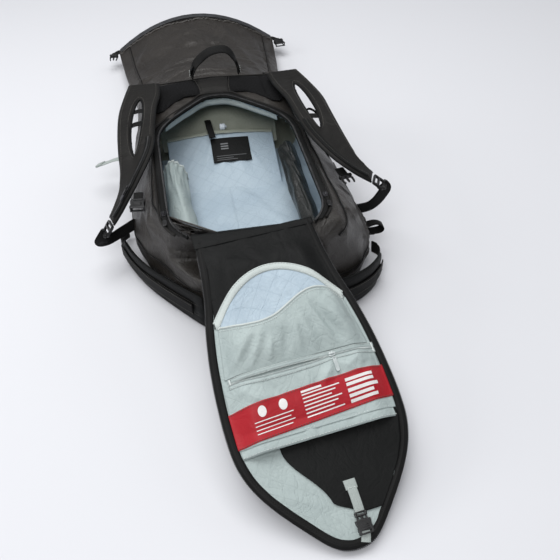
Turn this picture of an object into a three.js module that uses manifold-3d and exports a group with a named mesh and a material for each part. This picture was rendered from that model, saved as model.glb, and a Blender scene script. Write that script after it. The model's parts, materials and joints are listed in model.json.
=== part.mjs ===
// A 30-litre ski-touring backpack, lying on its front with the back panel unzipped and folded out.
// Millimetres, +Z up. The origin is the centre of the flat front face that the pack lies on.
// +Y points to the roll-top end, and the back panel hangs out towards -Y from the lip of the opening.
import * as THREE from "three";
import { mergeVertices } from "three/addons/utils/BufferGeometryUtils.js";
import Module from "manifold-3d";

const wasm = await Module();
wasm.setup();

// ---------------------------------------------------------------- driving dimensions
const BODY_LENGTH = 610; // bottom end to the root of the roll-top
const BACK_HEIGHT = 190; // height of the hinge line, where the back plane starts
// The back plane falls towards the yoke, as the pack is thinner there.
const BACK_SLOPE = THREE.MathUtils.degToRad(3.7);
const HINGE_Y = -295; // the lip at the bottom of the opening, which the back panel folds about
const BODY_START = HINGE_Y - 12; // outside of the bottom end
const WALL = 5; // foam-backed shell cloth
const LINING = 2;
const GAP = 0.4; // clearance between pieces that touch
const POCKET_THICK = 10; // front pocket that the pack lies on
const POCKET_LENGTH = 510;
const OPENING_GAP = 3; // between the opening's edge and the closed panel
const PANEL_LENGTH = 494; // lip to the panel's rounded top
const PANEL_TILT = THREE.MathUtils.degToRad(21.6); // slope of the folded-out panel
const HINGE_YAW = THREE.MathUtils.degToRad(3.75); // the lip runs askew by this much
const COLLAR_END = HINGE_Y + 850; // fold line of the roll-top
const MOUTH_END = HINGE_Y + 1015;
const WEBBING = 20; // width of the light straps
const WEB_THICK = 2;

const pack = new THREE.Group();

// ---------------------------------------------------------------- finishes
const finish = (color, roughness, metalness = 0) =>
  new THREE.MeshStandardMaterial({ color, roughness, metalness });
const shellCloth = finish(0x45423d, 0.8);
const blackCloth = finish(0x1c1c1d, 0.85);
const liningCloth = finish(0xb4c2c4, 0.7);
const redCloth = finish(0xa81a24, 0.7);
const webbingCloth = finish(0x222222, 0.9);
const greyWebbing = finish(0x8f9693, 0.9);
const meshFoam = finish(0x18181a, 0.95);
const blackPlastic = finish(0x141414, 0.45);
const boardPlastic = finish(0x2b2b2c, 0.5);
const aluminium = finish(0xb8babd, 0.35, 1);
const clearPlastic = finish(0xc9d4da, 0.15);

// ---------------------------------------------------------------- tools
const V = (x, y, z) => new THREE.Vector3(x, y, z);

// A closed geometry as a solid that can be cut and joined.
function solid(geometry) {
  let g = geometry.index ? geometry.toNonIndexed() : geometry.clone();
  g.deleteAttribute("normal");
  g.deleteAttribute("uv");
  g = mergeVertices(g, 1e-4);
  return new wasm.Manifold(
    new wasm.Mesh({
      numProp: 3,
      vertProperties: new Float32Array(g.attributes.position.array),
      triVerts: new Uint32Array(g.index.array),
    }),
  );
}

function geometryOf(made) {
  const m = made.getMesh();
  const g = new THREE.BufferGeometry();
  g.setAttribute("position", new THREE.BufferAttribute(m.vertProperties, 3));
  g.setIndex(new THREE.BufferAttribute(m.triVerts, 1));
  return g;
}

function add(parent, name, shape, material) {
  const geometry = shape.isBufferGeometry ? shape : geometryOf(shape);
  const mesh = new THREE.Mesh(geometry, material);
  mesh.name = name;
  parent.add(mesh);
  return mesh;
}

// The solid inside a closed skin of triangles, whichever way round they were listed.
function outwards(points, index) {
  const g = new THREE.BufferGeometry().setFromPoints(points);
  g.setIndex(index);
  const made = solid(g);
  if (made.volume() > 0) return made;
  g.setIndex(index.reverse());
  return solid(g);
}

// Skins a row of closed rings, each the same number of points, and caps both ends with a fan.
function loft(rings) {
  const n = rings[0].length;
  const points = rings.flat();
  const index = [];
  for (let i = 0; i < rings.length - 1; i++)
    for (let k = 0; k < n; k++) {
      const a = i * n + k;
      const b = i * n + ((k + 1) % n);
      index.push(a, b, a + n, b, b + n, a + n);
    }
  for (const [ring, flip] of [[0, true], [rings.length - 1, false]]) {
    const centre = rings[ring].reduce((sum, p) => sum.clone().add(p), V(0, 0, 0)).divideScalar(n);
    const hub = points.push(centre) - 1;
    for (let k = 0; k < n; k++) {
      const a = ring * n + k;
      const b = ring * n + ((k + 1) % n);
      index.push(...(flip ? [b, a, hub] : [a, b, hub]));
    }
  }
  return outwards(points, index);
}

// A sheet of cloth through rows of points, as thick as the step from its outer face to its inner face.
function clothSheet(rows, through) {
  const wide = rows[0].length;
  const outer = rows.flat();
  const points = [...outer, ...outer.map((p) => p.clone().add(through))];
  const other = outer.length;
  const index = [];
  const quad = (a, b, c, d) => index.push(a, b, c, a, c, d);
  for (let i = 0; i < rows.length - 1; i++)
    for (let k = 0; k < wide - 1; k++) {
      const a = i * wide + k;
      quad(a, a + 1, a + 1 + wide, a + wide);
      quad(other + a, other + a + wide, other + a + 1 + wide, other + a + 1);
    }
  const last = (rows.length - 1) * wide;
  const rim = [
    ...Array.from({ length: wide - 1 }, (_, k) => k),
    ...rows.slice(1).map((_, i) => i * wide + wide - 1),
    ...Array.from({ length: wide - 1 }, (_, k) => last + wide - 1 - k),
    ...rows.slice(1).map((_, i) => last - i * wide),
  ];
  rim.forEach((a, i) => {
    const b = rim[(i + 1) % rim.length];
    quad(b, a, other + a, other + b);
  });
  return outwards(points, index);
}

function box(x0, x1, y0, y1, z0, z1) {
  const g = new THREE.BoxGeometry(x1 - x0, y1 - y0, z1 - z0);
  return solid(g.translate((x0 + x1) / 2, (y0 + y1) / 2, (z0 + z1) / 2));
}

// A plate with the given outline, from z0 to z1.
function plate(outline, z0, z1) {
  const g = new THREE.ExtrudeGeometry(new THREE.Shape(outline), {
    depth: z1 - z0,
    bevelEnabled: false,
    curveSegments: 6,
  });
  return solid(g.translate(0, 0, z0));
}

function roundedRectangle(x0, x1, y0, y1, r) {
  const s = new THREE.Shape();
  s.absarc(x1 - r, y1 - r, r, 0, Math.PI / 2);
  s.absarc(x0 + r, y1 - r, r, Math.PI / 2, Math.PI);
  s.absarc(x0 + r, y0 + r, r, Math.PI, 1.5 * Math.PI);
  s.absarc(x1 - r, y0 + r, r, 1.5 * Math.PI, 2 * Math.PI);
  return s.getPoints(4);
}

const sideName = (side) => (side < 0 ? "left" : "right");

// A flat strap or pad along a smooth path. Each stop is {at, up, half, thick}: a point on the middle
// line, the way its face looks, half its width and its thickness.
function ribbon(stops, steps = 12) {
  const curve = new THREE.CatmullRomCurve3(stops.map((s) => s.at), false, "centripetal");
  const rings = [];
  for (let i = 0; i <= steps; i++) {
    const t = i / steps;
    const k = Math.min(Math.floor(t * (stops.length - 1)), stops.length - 2);
    const f = t * (stops.length - 1) - k;
    const mix = (name) => THREE.MathUtils.lerp(stops[k][name], stops[k + 1][name], f);
    const along = curve.getTangent(t);
    const up = stops[k].up.clone().lerp(stops[k + 1].up, f);
    const across = along.clone().cross(up).normalize();
    const normal = across.clone().cross(along).normalize();
    const centre = curve.getPoint(t);
    const half = mix("half");
    const thick = mix("thick") / 2;
    const corner = (a, b) => centre.clone().addScaledVector(across, a).addScaledVector(normal, b);
    const edge = Math.min(thick * 0.8, half * 0.3);
    rings.push([
      corner(-half + edge, -thick),
      corner(half - edge, -thick),
      corner(half, 0),
      corner(half - edge, thick),
      corner(-half + edge, thick),
      corner(-half, 0),
    ]);
  }
  return loft(rings);
}

const even = (points, up, half, thick) => points.map((at) => ({ at, up, half, thick }));

// Reads a value off a row of [place, value] pairs, straight between them.
function along(pairs, place) {
  if (place <= pairs[0][0]) return pairs[0][1];
  for (let i = 1; i < pairs.length; i++)
    if (place <= pairs[i][0])
      return THREE.MathUtils.mapLinear(place, pairs[i - 1][0], pairs[i][0], pairs[i - 1][1], pairs[i][1]);
  return pairs[pairs.length - 1][1];
}

// ---------------------------------------------------------------- outlines
// Half the panel's width against the distance from its hinge.
const PANEL_HALF_WIDTH = [
  [0, 93], [60, 97], [110, 104], [150, 114], [200, 122], [245, 126], [300, 128], [345, 126],
  [375, 117], [400, 103], [425, 84], [450, 62], [470, 44], [485, 30], [PANEL_LENGTH, 20],
];
// The opening is a little wider than the panel at the sides, and much wider by the lip, where the sides
// fall open.
const OPENING_LOW_HALF = [[0, 98], [14, 111], [32, 122], [60, 128.5], [330, 131]];
const panelHalf = (v) => along(PANEL_HALF_WIDTH, v);
const openingHalf = (v) => (v < 330 ? along(OPENING_LOW_HALF, v) : panelHalf(v) + OPENING_GAP + 1);

// Outline of a shape that is symmetrical about X = 0, from half widths at distances from the hinge.
function mirrored(half, distances, side) {
  const right = distances.map((d) => new THREE.Vector2(half(d), side * d));
  const left = distances.map((d) => new THREE.Vector2(-half(d), side * d)).reverse();
  return [...right, ...left];
}

const OPENING_STOPS = [0, 14, 32, 60, 200, 330, 345, 375, 400, 425, 450, 470, 485, 498];
const OPENING_TOP = 490;
// The opening grown on every side, with its lip at the given Y.
function openingOutline(grow, lipY) {
  const outline = mirrored((d) => openingHalf(d) + grow, OPENING_STOPS, 1);
  return outline.map((p) => new THREE.Vector2(p.x, p.y + lipY + (p.y > OPENING_TOP ? grow : 0)));
}

// ---------------------------------------------------------------- shell
// How far the body reaches to each side and up, against the distance from the hinge. Its lower end has
// slumped to the right, so the left bottom corner is drawn in and the right one stands out.
const BODY_LEFT = [
  [-12, 80], [2, 98], [30, 118], [80, 148], [125, 176],
  [180, 196], [300, 199], [450, 182], [560, 166], [598, 160],
];
const BODY_RIGHT = [
  [-12, 118], [2, 158], [30, 196], [80, 222], [150, 228],
  [230, 222], [300, 206], [450, 184], [560, 166], [598, 160],
];
const TAPE_BED = 0.5; // the cloth lies this far under the back plane, where the zip tape is sewn on
const backAt = (d) => BACK_HEIGHT - Math.tan(BACK_SLOPE) * d;
const BODY_TOP = [
  [-12, 166], [2, 184], [12, backAt(12) - TAPE_BED],
  [520, backAt(520) - TAPE_BED], [560, 152], [598, 148],
];
const BODY_STOPS = [-12, 2, 12, 30, 80, 125, 180, 230, 300, 380, 450, 520, 560, 598];
const RIM = 150; // half width of the back plane between its side seams

// One cross-section of the body, shrunk on every side by inset.
function bodyRing(d, inset) {
  const low = POCKET_THICK + GAP + inset;
  const top = along(BODY_TOP, d) - inset;
  const half = (table) => {
    const w = along(table, d) - inset;
    const rim = Math.min(along(table, d) - 12, RIM) - inset;
    return [
      [w - 26, low], [w - 7, low + 12], [w, low + 36], [w - 2, low + 68],
      [w * 0.62 + rim * 0.38, low + (top - low) * 0.72], [rim + 4, top - 9], [rim - 9, top],
    ];
  };
  const right = half(BODY_RIGHT).map(([x, z]) => V(x, HINGE_Y + d, z));
  const left = half(BODY_LEFT).map(([x, z]) => V(-x, HINGE_Y + d, z));
  return [...right, ...left.reverse()];
}

function bodyLoft(inset, startInset, endOver) {
  const rings = BODY_STOPS.map((d) => bodyRing(d, inset));
  rings[0] = rings[0].map((p) => V(p.x, p.y + startInset, p.z));
  rings[1] = rings[1].map((p) => V(p.x, Math.max(p.y, BODY_START + startInset + 4), p.z));
  rings.push(rings[rings.length - 1].map((p) => V(p.x, p.y + endOver, p.z)));
  return loft(rings);
}

const opening = plate(openingOutline(0, HINGE_Y), BACK_HEIGHT - 90, BACK_HEIGHT + 60);
const shell = bodyLoft(0, 0, 0.01).subtract(bodyLoft(WALL, WALL, 30)).subtract(opening);

const FAR = 2000;
const SEAM_Z = 34; // the front panel turns up this far into the sides
const BOTTOM_SEAM = HINGE_Y + 20;
const YOKE_SEAM = HINGE_Y + 500;
const keep = (x0, x1, y0, y1, z0, z1) => shell.intersect(box(x0, x1, y0, y1, z0, z1));
add(pack, "front_panel", keep(-FAR, FAR, -FAR, FAR, -FAR, SEAM_Z), shellCloth);
add(pack, "side_panel_left", keep(-FAR, -GAP, BOTTOM_SEAM + GAP, YOKE_SEAM, SEAM_Z + GAP, FAR), shellCloth);
add(pack, "side_panel_right", keep(GAP, FAR, BOTTOM_SEAM + GAP, YOKE_SEAM, SEAM_Z + GAP, FAR), shellCloth);
add(pack, "bottom_panel", keep(-FAR, FAR, -FAR, BOTTOM_SEAM, SEAM_Z + GAP, FAR), shellCloth);
add(pack, "yoke_panel", keep(-FAR, FAR, YOKE_SEAM + GAP, FAR, SEAM_Z + GAP, FAR), shellCloth);

const liningOuter = bodyLoft(WALL + GAP, WALL + GAP, 0.01);
const liningInner = bodyLoft(WALL + GAP + LINING, WALL + GAP + LINING, 30);
add(pack, "lining", liningOuter.subtract(liningInner).subtract(opening), liningCloth);

const frontPocket = roundedRectangle(-150, 150, -POCKET_LENGTH / 2, POCKET_LENGTH / 2, 60);
add(pack, "front_pocket", plate(frontPocket, 0, POCKET_THICK), shellCloth);

// The back plane's own frame: X across, Y up the pack from the hinge line, Z out of the back.
const backPlane = new THREE.Group();
backPlane.position.set(0, HINGE_Y, BACK_HEIGHT);
backPlane.rotation.x = -BACK_SLOPE;
pack.add(backPlane);

// Tape and coil of the main zip, round the opening from one end of the lip to the other.
const TAPE_TOP = 2.2;
function mainZipTape() {
  const outer = plate(openingOutline(11, 0), GAP, TAPE_TOP);
  const lip = box(-FAR, FAR, -20, 16, -50, 50);
  return outer.subtract(plate(openingOutline(0, 0), -50, 50)).subtract(lip);
}
add(backPlane, "main_zip_tape", mainZipTape(), webbingCloth);

// ---------------------------------------------------------------- inside the main compartment
const FLOOR_Z = POCKET_THICK + GAP * 2 + WALL + LINING + GAP; // top of the lining on the front wall

// The tool sleeve stands along the left wall, open at the roll-top end.
function toolSleeve() {
  const path = [
    { d: 80, x: -82, top: 72 }, { d: 160, x: -104, top: 104 },
    { d: 260, x: -112, top: 120 }, { d: 345, x: -108, top: 112 },
  ];
  const ring = (s, inset) =>
    [
      [s.x - 26 + inset, FLOOR_Z + 2 + inset], [s.x + 26 - inset, FLOOR_Z + 2 + inset],
      [s.x + 18 - inset, s.top * 0.7], [s.x + 2, s.top - inset], [s.x - 14 + inset, s.top - 6 - inset],
      [s.x - 25 + inset, s.top * 0.6],
    ].map(([x, z]) => V(x, HINGE_Y + s.d, z));
  const inner = path.map((s) => ring(s, 2));
  inner[0] = inner[0].map((p) => p.clone().setY(p.y + 4));
  inner.push(inner[inner.length - 1].map((p) => p.clone().setY(p.y + 20)));
  return loft(path.map((s) => ring(s, 0))).subtract(loft(inner));
}
add(pack, "tool_sleeve", toolSleeve(), liningCloth);

// The probe sleeve is a long tube of coated cloth on the right wall, open at its low end.
function probeSleeve() {
  const ends = [[HINGE_Y + 70, 124, 92], [HINGE_Y + 350, 122, 104]];
  const ring = ([y, x, z], r, over = 0) =>
    Array.from({ length: 12 }, (_, k) => {
      const a = (k / 12) * 2 * Math.PI;
      return V(x + Math.cos(a) * r * 0.8, y + over, z + Math.sin(a) * r);
    });
  const outer = loft(ends.map((e) => ring(e, 23)));
  return outer.subtract(loft([ring(ends[0], 21, -10), ring(ends[1], 21, -5)]));
}
add(pack, "probe_sleeve", probeSleeve(), blackCloth);

// The divider rises from the front wall to a hem under the yoke. It keeps the safety tools behind it
// from the rest.
const DIVIDER = { from: 354, length: 128, rise: 52, half: 116, cloth: 2 };
const DIVIDER_ROWS = [0, 0.25, 0.5, 0.7, 0.9, 1];
function dividerAt(x, t) {
  return V(x, HINGE_Y + DIVIDER.from + DIVIDER.length * t, FLOOR_Z + 4 + DIVIDER.rise * t ** 1.3);
}
function divider() {
  const rows = DIVIDER_ROWS.map((t) => [-1, -0.5, 0, 0.5, 1].map((f) => dividerAt(f * DIVIDER.half, t)));
  return clothSheet(rows, V(0, 0, -DIVIDER.cloth));
}
add(pack, "divider", divider(), liningCloth);
const LABEL = { x0: -22, x1: 60, cloth: 1.2 };
function labelPatch() {
  const rows = DIVIDER_ROWS.slice(2, 5).map((t) =>
    [LABEL.x0, LABEL.x1].map((x) => dividerAt(x, t).add(V(0, 0, GAP + LABEL.cloth))),
  );
  return clothSheet(rows, V(0, 0, -LABEL.cloth));
}
add(pack, "label_patch", labelPatch(), blackCloth);

// A loop to hang tools from and a drawcord with its lock sit at the divider's hem.
const loopPath = [V(-22, HINGE_Y + 516, 90), V(-20, HINGE_Y + 490, 88), V(-17, HINGE_Y + 460, 76)];
add(pack, "tool_loop", ribbon(even(loopPath, V(0, -0.2, 1), 7.5, 2.4), 5), webbingCloth);
const lock = new THREE.CylinderGeometry(8, 8, 12, 14).rotateZ(Math.PI / 2).translate(6, HINGE_Y + 494, 84);
add(pack, "drawcord_lock", solid(lock), clearPlastic);

// ---------------------------------------------------------------- yoke and handle
function yokePad() {
  const outline = [
    [-146, 500], [-128, 440], [-108, 452], [-66, 508], [0, 516], [66, 508], [108, 452], [128, 440],
    [146, 500], [136, 566], [0, 584], [-136, 566],
  ].map(([x, d]) => new THREE.Vector2(x, d)).reverse();
  return plate(outline, TAPE_TOP + GAP * 2, TAPE_TOP + 8);
}
add(backPlane, "yoke_pad", yokePad().subtract(plate(openingOutline(12.5, 0), -10, 40)), meshFoam);

// The grab handle stands up in a loop over the yoke's end.
const HANDLE_THICK = 3;
const handle = new THREE.Group();
handle.position.set(8, HINGE_Y + 570, 168);
const handleStops = [
  { at: V(-50, 0, 0), up: V(-1, 0, 0), half: 7, thick: HANDLE_THICK },
  { at: V(-42, 2, 22), up: V(-1, 0, 0.3), half: 8.5, thick: HANDLE_THICK },
  { at: V(-6, 10, 50), up: V(-0.4, 0, 1), half: 9, thick: HANDLE_THICK },
  { at: V(28, 12, 50), up: V(0.5, 0, 1), half: 9, thick: HANDLE_THICK },
  { at: V(48, 6, 26), up: V(1, 0, 0.2), half: 8.5, thick: HANDLE_THICK },
  { at: V(50, 0, 0), up: V(1, 0, 0), half: 7, thick: HANDLE_THICK },
];
add(handle, "grab_handle", ribbon(handleStops, 16), webbingCloth);
pack.add(handle);

// ---------------------------------------------------------------- shoulder straps
const YOKE_LINE = HINGE_Y + 545; // the straps hinge on this line
// Each strap leaves the yoke, runs down beside the opening and splays outwards to its ladder lock. A stop
// gives the place of its middle line, as distance out from the centre, distance from the hinge and
// height, then half its width.
const STRAP_STOPS = {
  left: [
    [146, 536, 177, 31], [152, 486, 180, 36], [163, 410, 188, 37], [168, 335, 193, 36],
    [173, 262, 186, 34], [192, 214, 156, 27], [213, 194, 124, 21], [231, 184, 100, 17],
  ],
  right: [
    [148, 536, 177, 33], [156, 470, 184, 38], [166, 390, 194, 38], [168, 315, 201, 36],
    [175, 244, 199, 35], [193, 186, 188, 30], [218, 158, 171, 24], [240, 147, 156, 18],
  ],
};
const STRAP_THICK = 12;
// How far each stop's face leans outwards.
const STRAP_TILT = {
  left: [0.02, 0.08, 0.16, 0.22, 0.35, 0.7, 0.9, 0.95],
  right: [0.02, 0.06, 0.1, 0.12, 0.2, 0.3, 0.35, 0.4],
};
function strapStops(side) {
  const name = sideName(side);
  return STRAP_STOPS[name].map(([x, d, z, half], i) => ({
    at: V(side * x, HINGE_Y + d, z),
    up: V(side * STRAP_TILT[name][i], 0, 1).normalize(),
    half,
    thick: STRAP_THICK,
  }));
}

// The long hole that vents each pad, nearer its outer edge.
const VENT = { out: 166, d: 362, half: 104, wide: 11, lean: 9 };
function ventHole(side) {
  const hole = Array.from({ length: 16 }, (_, k) => {
    const a = (k / 16) * 2 * Math.PI;
    const slide = Math.sin(a) * VENT.half;
    const x = VENT.out - (slide / VENT.half) * VENT.lean * (side < 0 ? 1 : 0.3) + Math.cos(a) * VENT.wide;
    return new THREE.Vector2(side * x, HINGE_Y + VENT.d + slide);
  });
  if (side < 0) hole.reverse();
  return plate(hole, BACK_HEIGHT - 60, BACK_HEIGHT + 60);
}

const LOCK_HALF = 17; // half the width of a ladder lock
const LOCK_DEPTH = 3; // half its thickness
for (const side of [-1, 1]) {
  const name = sideName(side);
  const stops = strapStops(side);
  const pad = ribbon(stops, 26).subtract(ventHole(side));
  add(pack, `shoulder_pad_${name}`, pad, shellCloth);

  // Ladder lock, lying in the plane of the pad's end.
  const end = stops[stops.length - 1];
  const before = stops[stops.length - 2];
  const outward = end.at.clone().sub(before.at).normalize();
  const across = outward.clone().cross(end.up).normalize();
  const face = across.clone().cross(outward).normalize();
  const frame = new THREE.Matrix4().makeBasis(across, outward, face).setPosition(end.at);
  const buckle = new THREE.Group();
  buckle.applyMatrix4(frame);
  const slot = LOCK_HALF - 4;
  const bars = box(-LOCK_HALF, LOCK_HALF, 3, 27, -LOCK_DEPTH, LOCK_DEPTH)
    .subtract(box(-slot, slot, 7, 13, -LOCK_DEPTH - 2, LOCK_DEPTH + 2))
    .subtract(box(-slot, slot, 17, 23, -LOCK_DEPTH - 2, LOCK_DEPTH + 2))
    .add(box(-LOCK_HALF, LOCK_HALF, 22, 30, 1, LOCK_DEPTH * 2));
  add(buckle, `ladder_lock_${name}`, bars, blackPlastic);
  pack.add(buckle);
}

// A path from stops that give x, the distance from the hinge and z.
const fromHinge = (stops) => stops.map(([x, d, z]) => V(x, HINGE_Y + d, z));

// Webbing from the foot of each side up to the ladder lock.
const WIDE_HALF = 12; // half the width of the wide straps
const adjusterPath = {
  left: fromHinge([[-206, 204, 68], [-224, 196, 62], [-244, 184, 58], [-254, 172, 62]]),
  right: fromHinge([[234, 146, 92], [244, 144, 96], [256, 142, 112], [260, 138, 132]]),
};
for (const [name, path] of Object.entries(adjusterPath)) {
  const side = name === "left" ? -1 : 1;
  const stops = even(path, V(side * 0.2, -1, 0.4), WIDE_HALF, WEB_THICK);
  add(pack, `adjuster_webbing_${name}`, ribbon(stops, 8), webbingCloth);
}

// Sternum strap: a short webbing on each strap's edge, with half of a side-release buckle.
const sternumSpot = { left: V(-176, HINGE_Y + 181, 155), right: V(185.5, HINGE_Y + 166, 168) };
const sternumTurn = { left: -0.1, right: 0.2 };
const STERNUM_ROOT = -17.5; // where the webbing meets its buckle half
const STERNUM_TIP = -42;
function sternumCatch() {
  const body = box(-13, 13, STERNUM_TIP, STERNUM_ROOT, -7, 3.5);
  return body.subtract(box(-9, 9, STERNUM_TIP - 8, -22, -4.6, 1.1));
}
// The other half has two spring arms and a guide between them.
function sternumArms() {
  return box(-12, 12, -24, STERNUM_ROOT, -6, 2.5)
    .add(box(-11, -7, STERNUM_TIP, -23, -4, 0.5))
    .add(box(7, 11, STERNUM_TIP, -23, -4, 0.5))
    .add(box(-2, 2, STERNUM_TIP + 2, -23, -4, 0.5));
}
for (const name of ["left", "right"]) {
  const group = new THREE.Group();
  group.position.copy(sternumSpot[name]);
  group.rotation.z = sternumTurn[name];
  const web = even([V(0, 4, -1), V(0, -6, -1.5), V(0, -16, -2)], V(0, 0, 1), 9, WEB_THICK);
  add(group, `sternum_webbing_${name}`, ribbon(web, 4), webbingCloth);
  if (name === "left") add(group, "sternum_buckle_female", sternumCatch(), blackPlastic);
  else add(group, "sternum_buckle_male", sternumArms(), blackPlastic);
  pack.add(group);
}

// ---------------------------------------------------------------- hip belt
// The belt's middle is sewn across the bottom end, and the wings have dropped to the floor beside the body.
const BELT_THICK = 9;
const BELT_HALF = 38;
const lumbarPath = fromHinge([[-84, -21, 62], [0, -24, 62], [100, -21, 62]]);
add(pack, "hip_belt_centre", ribbon(even(lumbarPath, V(0, -1, 0), BELT_HALF, BELT_THICK), 6), meshFoam);

// Each wing stands on its lower edge, a little above the floor, and follows the body round.
const WING_THICK = 10;
const WING_FOOT = 4;
const wingPath = {
  left: [[-86, -14, 36], [-115, 22, 33], [-144, 60, 30], [-172, 100, 28], [-196, 146, 26], [-213, 196, 23]],
  right: [[112, -14, 38], [158, -8, 36], [194, 10, 34], [218, 32, 32], [232, 56, 28]],
};
for (const [name, stops] of Object.entries(wingPath)) {
  const path = stops.map(([x, d]) => V(x, HINGE_Y + d, 0));
  const curve = new THREE.CatmullRomCurve3(path, false, "centripetal");
  const shaped = stops.map(([x, d, half], i) => {
    const forward = curve.getTangent(i / (stops.length - 1));
    const outward = forward.clone().cross(V(0, 0, name === "left" ? -1 : 1)).normalize();
    const at = V(x, HINGE_Y + d, half + WING_FOOT).addScaledVector(outward, WING_THICK / 2);
    return { at, up: outward, half, thick: WING_THICK };
  });
  add(pack, `hip_wing_${name}`, ribbon(shaped, 12), blackCloth);
}

const hipTail = {
  left: fromHinge([[-221, 204, 24], [-225, 220, 22], [-222, 238, 18], [-212, 254, 15]]),
  right: fromHinge([[238, 64, 30], [246, 80, 28], [248, 98, 24], [242, 114, 20]]),
};
for (const [name, path] of Object.entries(hipTail)) {
  const side = name === "left" ? -1 : 1;
  const stops = even(path, V(side, 0.2, 0), WIDE_HALF, WEB_THICK);
  add(pack, `hip_webbing_${name}`, ribbon(stops, 6), webbingCloth);
}

// ---------------------------------------------------------------- side straps and loops
const compression = {
  upper_left: {
    path: fromHinge([[-194, 414, 74], [-214, 420, 78], [-240, 430, 68], [-264, 438, 56]]),
    up: V(0, 0.2, 1),
  },
  upper_right: {
    path: fromHinge([[198, 420, 58], [206, 396, 60], [214, 350, 62], [218, 310, 62]]),
    up: V(1, 0, 0.1),
  },
  lower_right: {
    path: fromHinge([[233, 118, 74], [246, 114, 78], [256, 112, 70], [248, 114, 60], [236, 116, 58]]),
    up: V(0.2, 0, 1),
  },
};
for (const [name, { path, up }] of Object.entries(compression)) {
  add(pack, `side_strap_${name}`, ribbon(even(path, up, WEBBING / 2, WEB_THICK), 8), webbingCloth);
}
const POLE_CORD_RADIUS = 2.5;
const poleStops = [[178, 436, 134], [190, 438, 138], [204, 420, 132], [206, 392, 118], [196, 376, 106]];
const poleCurve = new THREE.CatmullRomCurve3(fromHinge(poleStops));
const cordSection = new THREE.Shape().absarc(0, 0, POLE_CORD_RADIUS, 0, 2 * Math.PI);
const poleCord = new THREE.ExtrudeGeometry(cordSection, {
  steps: 18,
  extrudePath: poleCurve,
  curveSegments: 4,
});
add(pack, "pole_loop", solid(poleCord), webbingCloth);

// ---------------------------------------------------------------- roll-top
// One cross-section of the roll-top: a flat sheet on the floor under an arched one. They meet in the side
// seams.
function collarRing(y, half, edge, crown, inset, bow = 0) {
  const n = 9;
  const top = Array.from({ length: n }, (_, k) => {
    const t = 1 - (2 * k) / (n - 1);
    const arch = 1 - t * t;
    return V(t * (half - inset), y + bow * arch, edge + (crown - edge) * arch - inset * (arch > 0 ? 1 : 0));
  });
  const lowZ = (p) => Math.min(3 + inset + 12 * Math.abs(p.x / half) ** 6, p.z - 1);
  const low = top.slice(1, -1).reverse().map((p) => V(p.x, y, lowZ(p)));
  return [...top, ...low].reverse();
}
const collarAt = [
  { y: HINGE_Y + BODY_LENGTH - 11.2, half: 158, edge: 96, crown: 148 },
  { y: HINGE_Y + 660, half: 166, edge: 78, crown: 142 },
  { y: HINGE_Y + 740, half: 179, edge: 54, crown: 124 },
  { y: COLLAR_END - GAP, half: 194, edge: 40, crown: 112 },
];
const mouthAt = [
  { y: COLLAR_END + GAP, half: 194, edge: 40, crown: 112 },
  { y: COLLAR_END + 90, half: 203, edge: 37, crown: 108 },
  { y: MOUTH_END, half: 210, edge: 36, crown: 106, bow: 26 },
];
function collarTube(stations, wall) {
  const rings = (inset) => stations.map((s) => collarRing(s.y, s.half, s.edge, s.crown, inset, s.bow));
  const inner = rings(wall);
  inner.unshift(inner[0].map((p) => V(p.x, p.y - 5, p.z)));
  inner.push(inner[inner.length - 1].map((p) => V(p.x, p.y + 5, p.z)));
  return loft(rings(0)).subtract(loft(inner));
}
add(pack, "rolltop_collar", collarTube(collarAt, 3), shellCloth);

const rolltop = new THREE.Group();
add(rolltop, "rolltop_mouth", collarTube(mouthAt, 3), shellCloth);
const stiffener = Array.from({ length: 9 }, (_, k) => {
  const t = (2 * k) / 8 - 1;
  const arch = 1 - t * t;
  return V(t * 204, MOUTH_END - 12 + 22 * arch, 38 + 70 * arch + 5);
});
add(rolltop, "rolltop_stiffener", ribbon(even(stiffener, V(0, 0, 1), 9, 1.6), 14), boardPlastic);
// The two halves of the buckle that closes the rolled end hang from the ends of the stiffener.
const ROLL_BUCKLE = { out: 223, inFrom: 14, z: 34, turn: 0.1, root: -4 };
function rollArms() {
  return box(-11, 11, -16, ROLL_BUCKLE.root, -4, 4)
    .add(box(-10, -6, -34, -15, -3, 3))
    .add(box(6, 10, -34, -15, -3, 3))
    .add(box(-2, 2, -30, -15, -3, 3));
}
const rollCatch = () => box(-13, 13, -32, ROLL_BUCKLE.root, -5, 5).subtract(box(-9, 9, -40, -9, -3, 3));
for (const side of [-1, 1]) {
  const half = new THREE.Group();
  half.position.set(side * ROLL_BUCKLE.out, MOUTH_END - ROLL_BUCKLE.inFrom, ROLL_BUCKLE.z);
  half.rotation.z = side * ROLL_BUCKLE.turn;
  if (side < 0) add(half, "rolltop_buckle_male", rollArms(), blackPlastic);
  else add(half, "rolltop_buckle_female", rollCatch(), blackPlastic);
  rolltop.add(half);
}
pack.add(rolltop);

// ---------------------------------------------------------------- main zip sliders
// A slider and its pull wait at each end of the lip, and run up the straight sides of the opening.
const SLIDER_START = 70;
for (const side of [-1, 1]) {
  const slider = new THREE.Group();
  slider.position.set(side * (openingHalf(SLIDER_START) + 6), SLIDER_START, TAPE_TOP + GAP);
  const body = box(-4.5, 4.5, -7, 7, 0, 3);
  const bridge = box(-1.2, 1.2, -3, 3, 2.9, 5);
  add(slider, `main_slider_${sideName(side)}`, body.add(bridge), blackPlastic);
  add(slider, `main_pull_${sideName(side)}`, box(-3, 3, -36, -7.5, 1, 3.2), webbingCloth);
  backPlane.add(slider);
}

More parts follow.
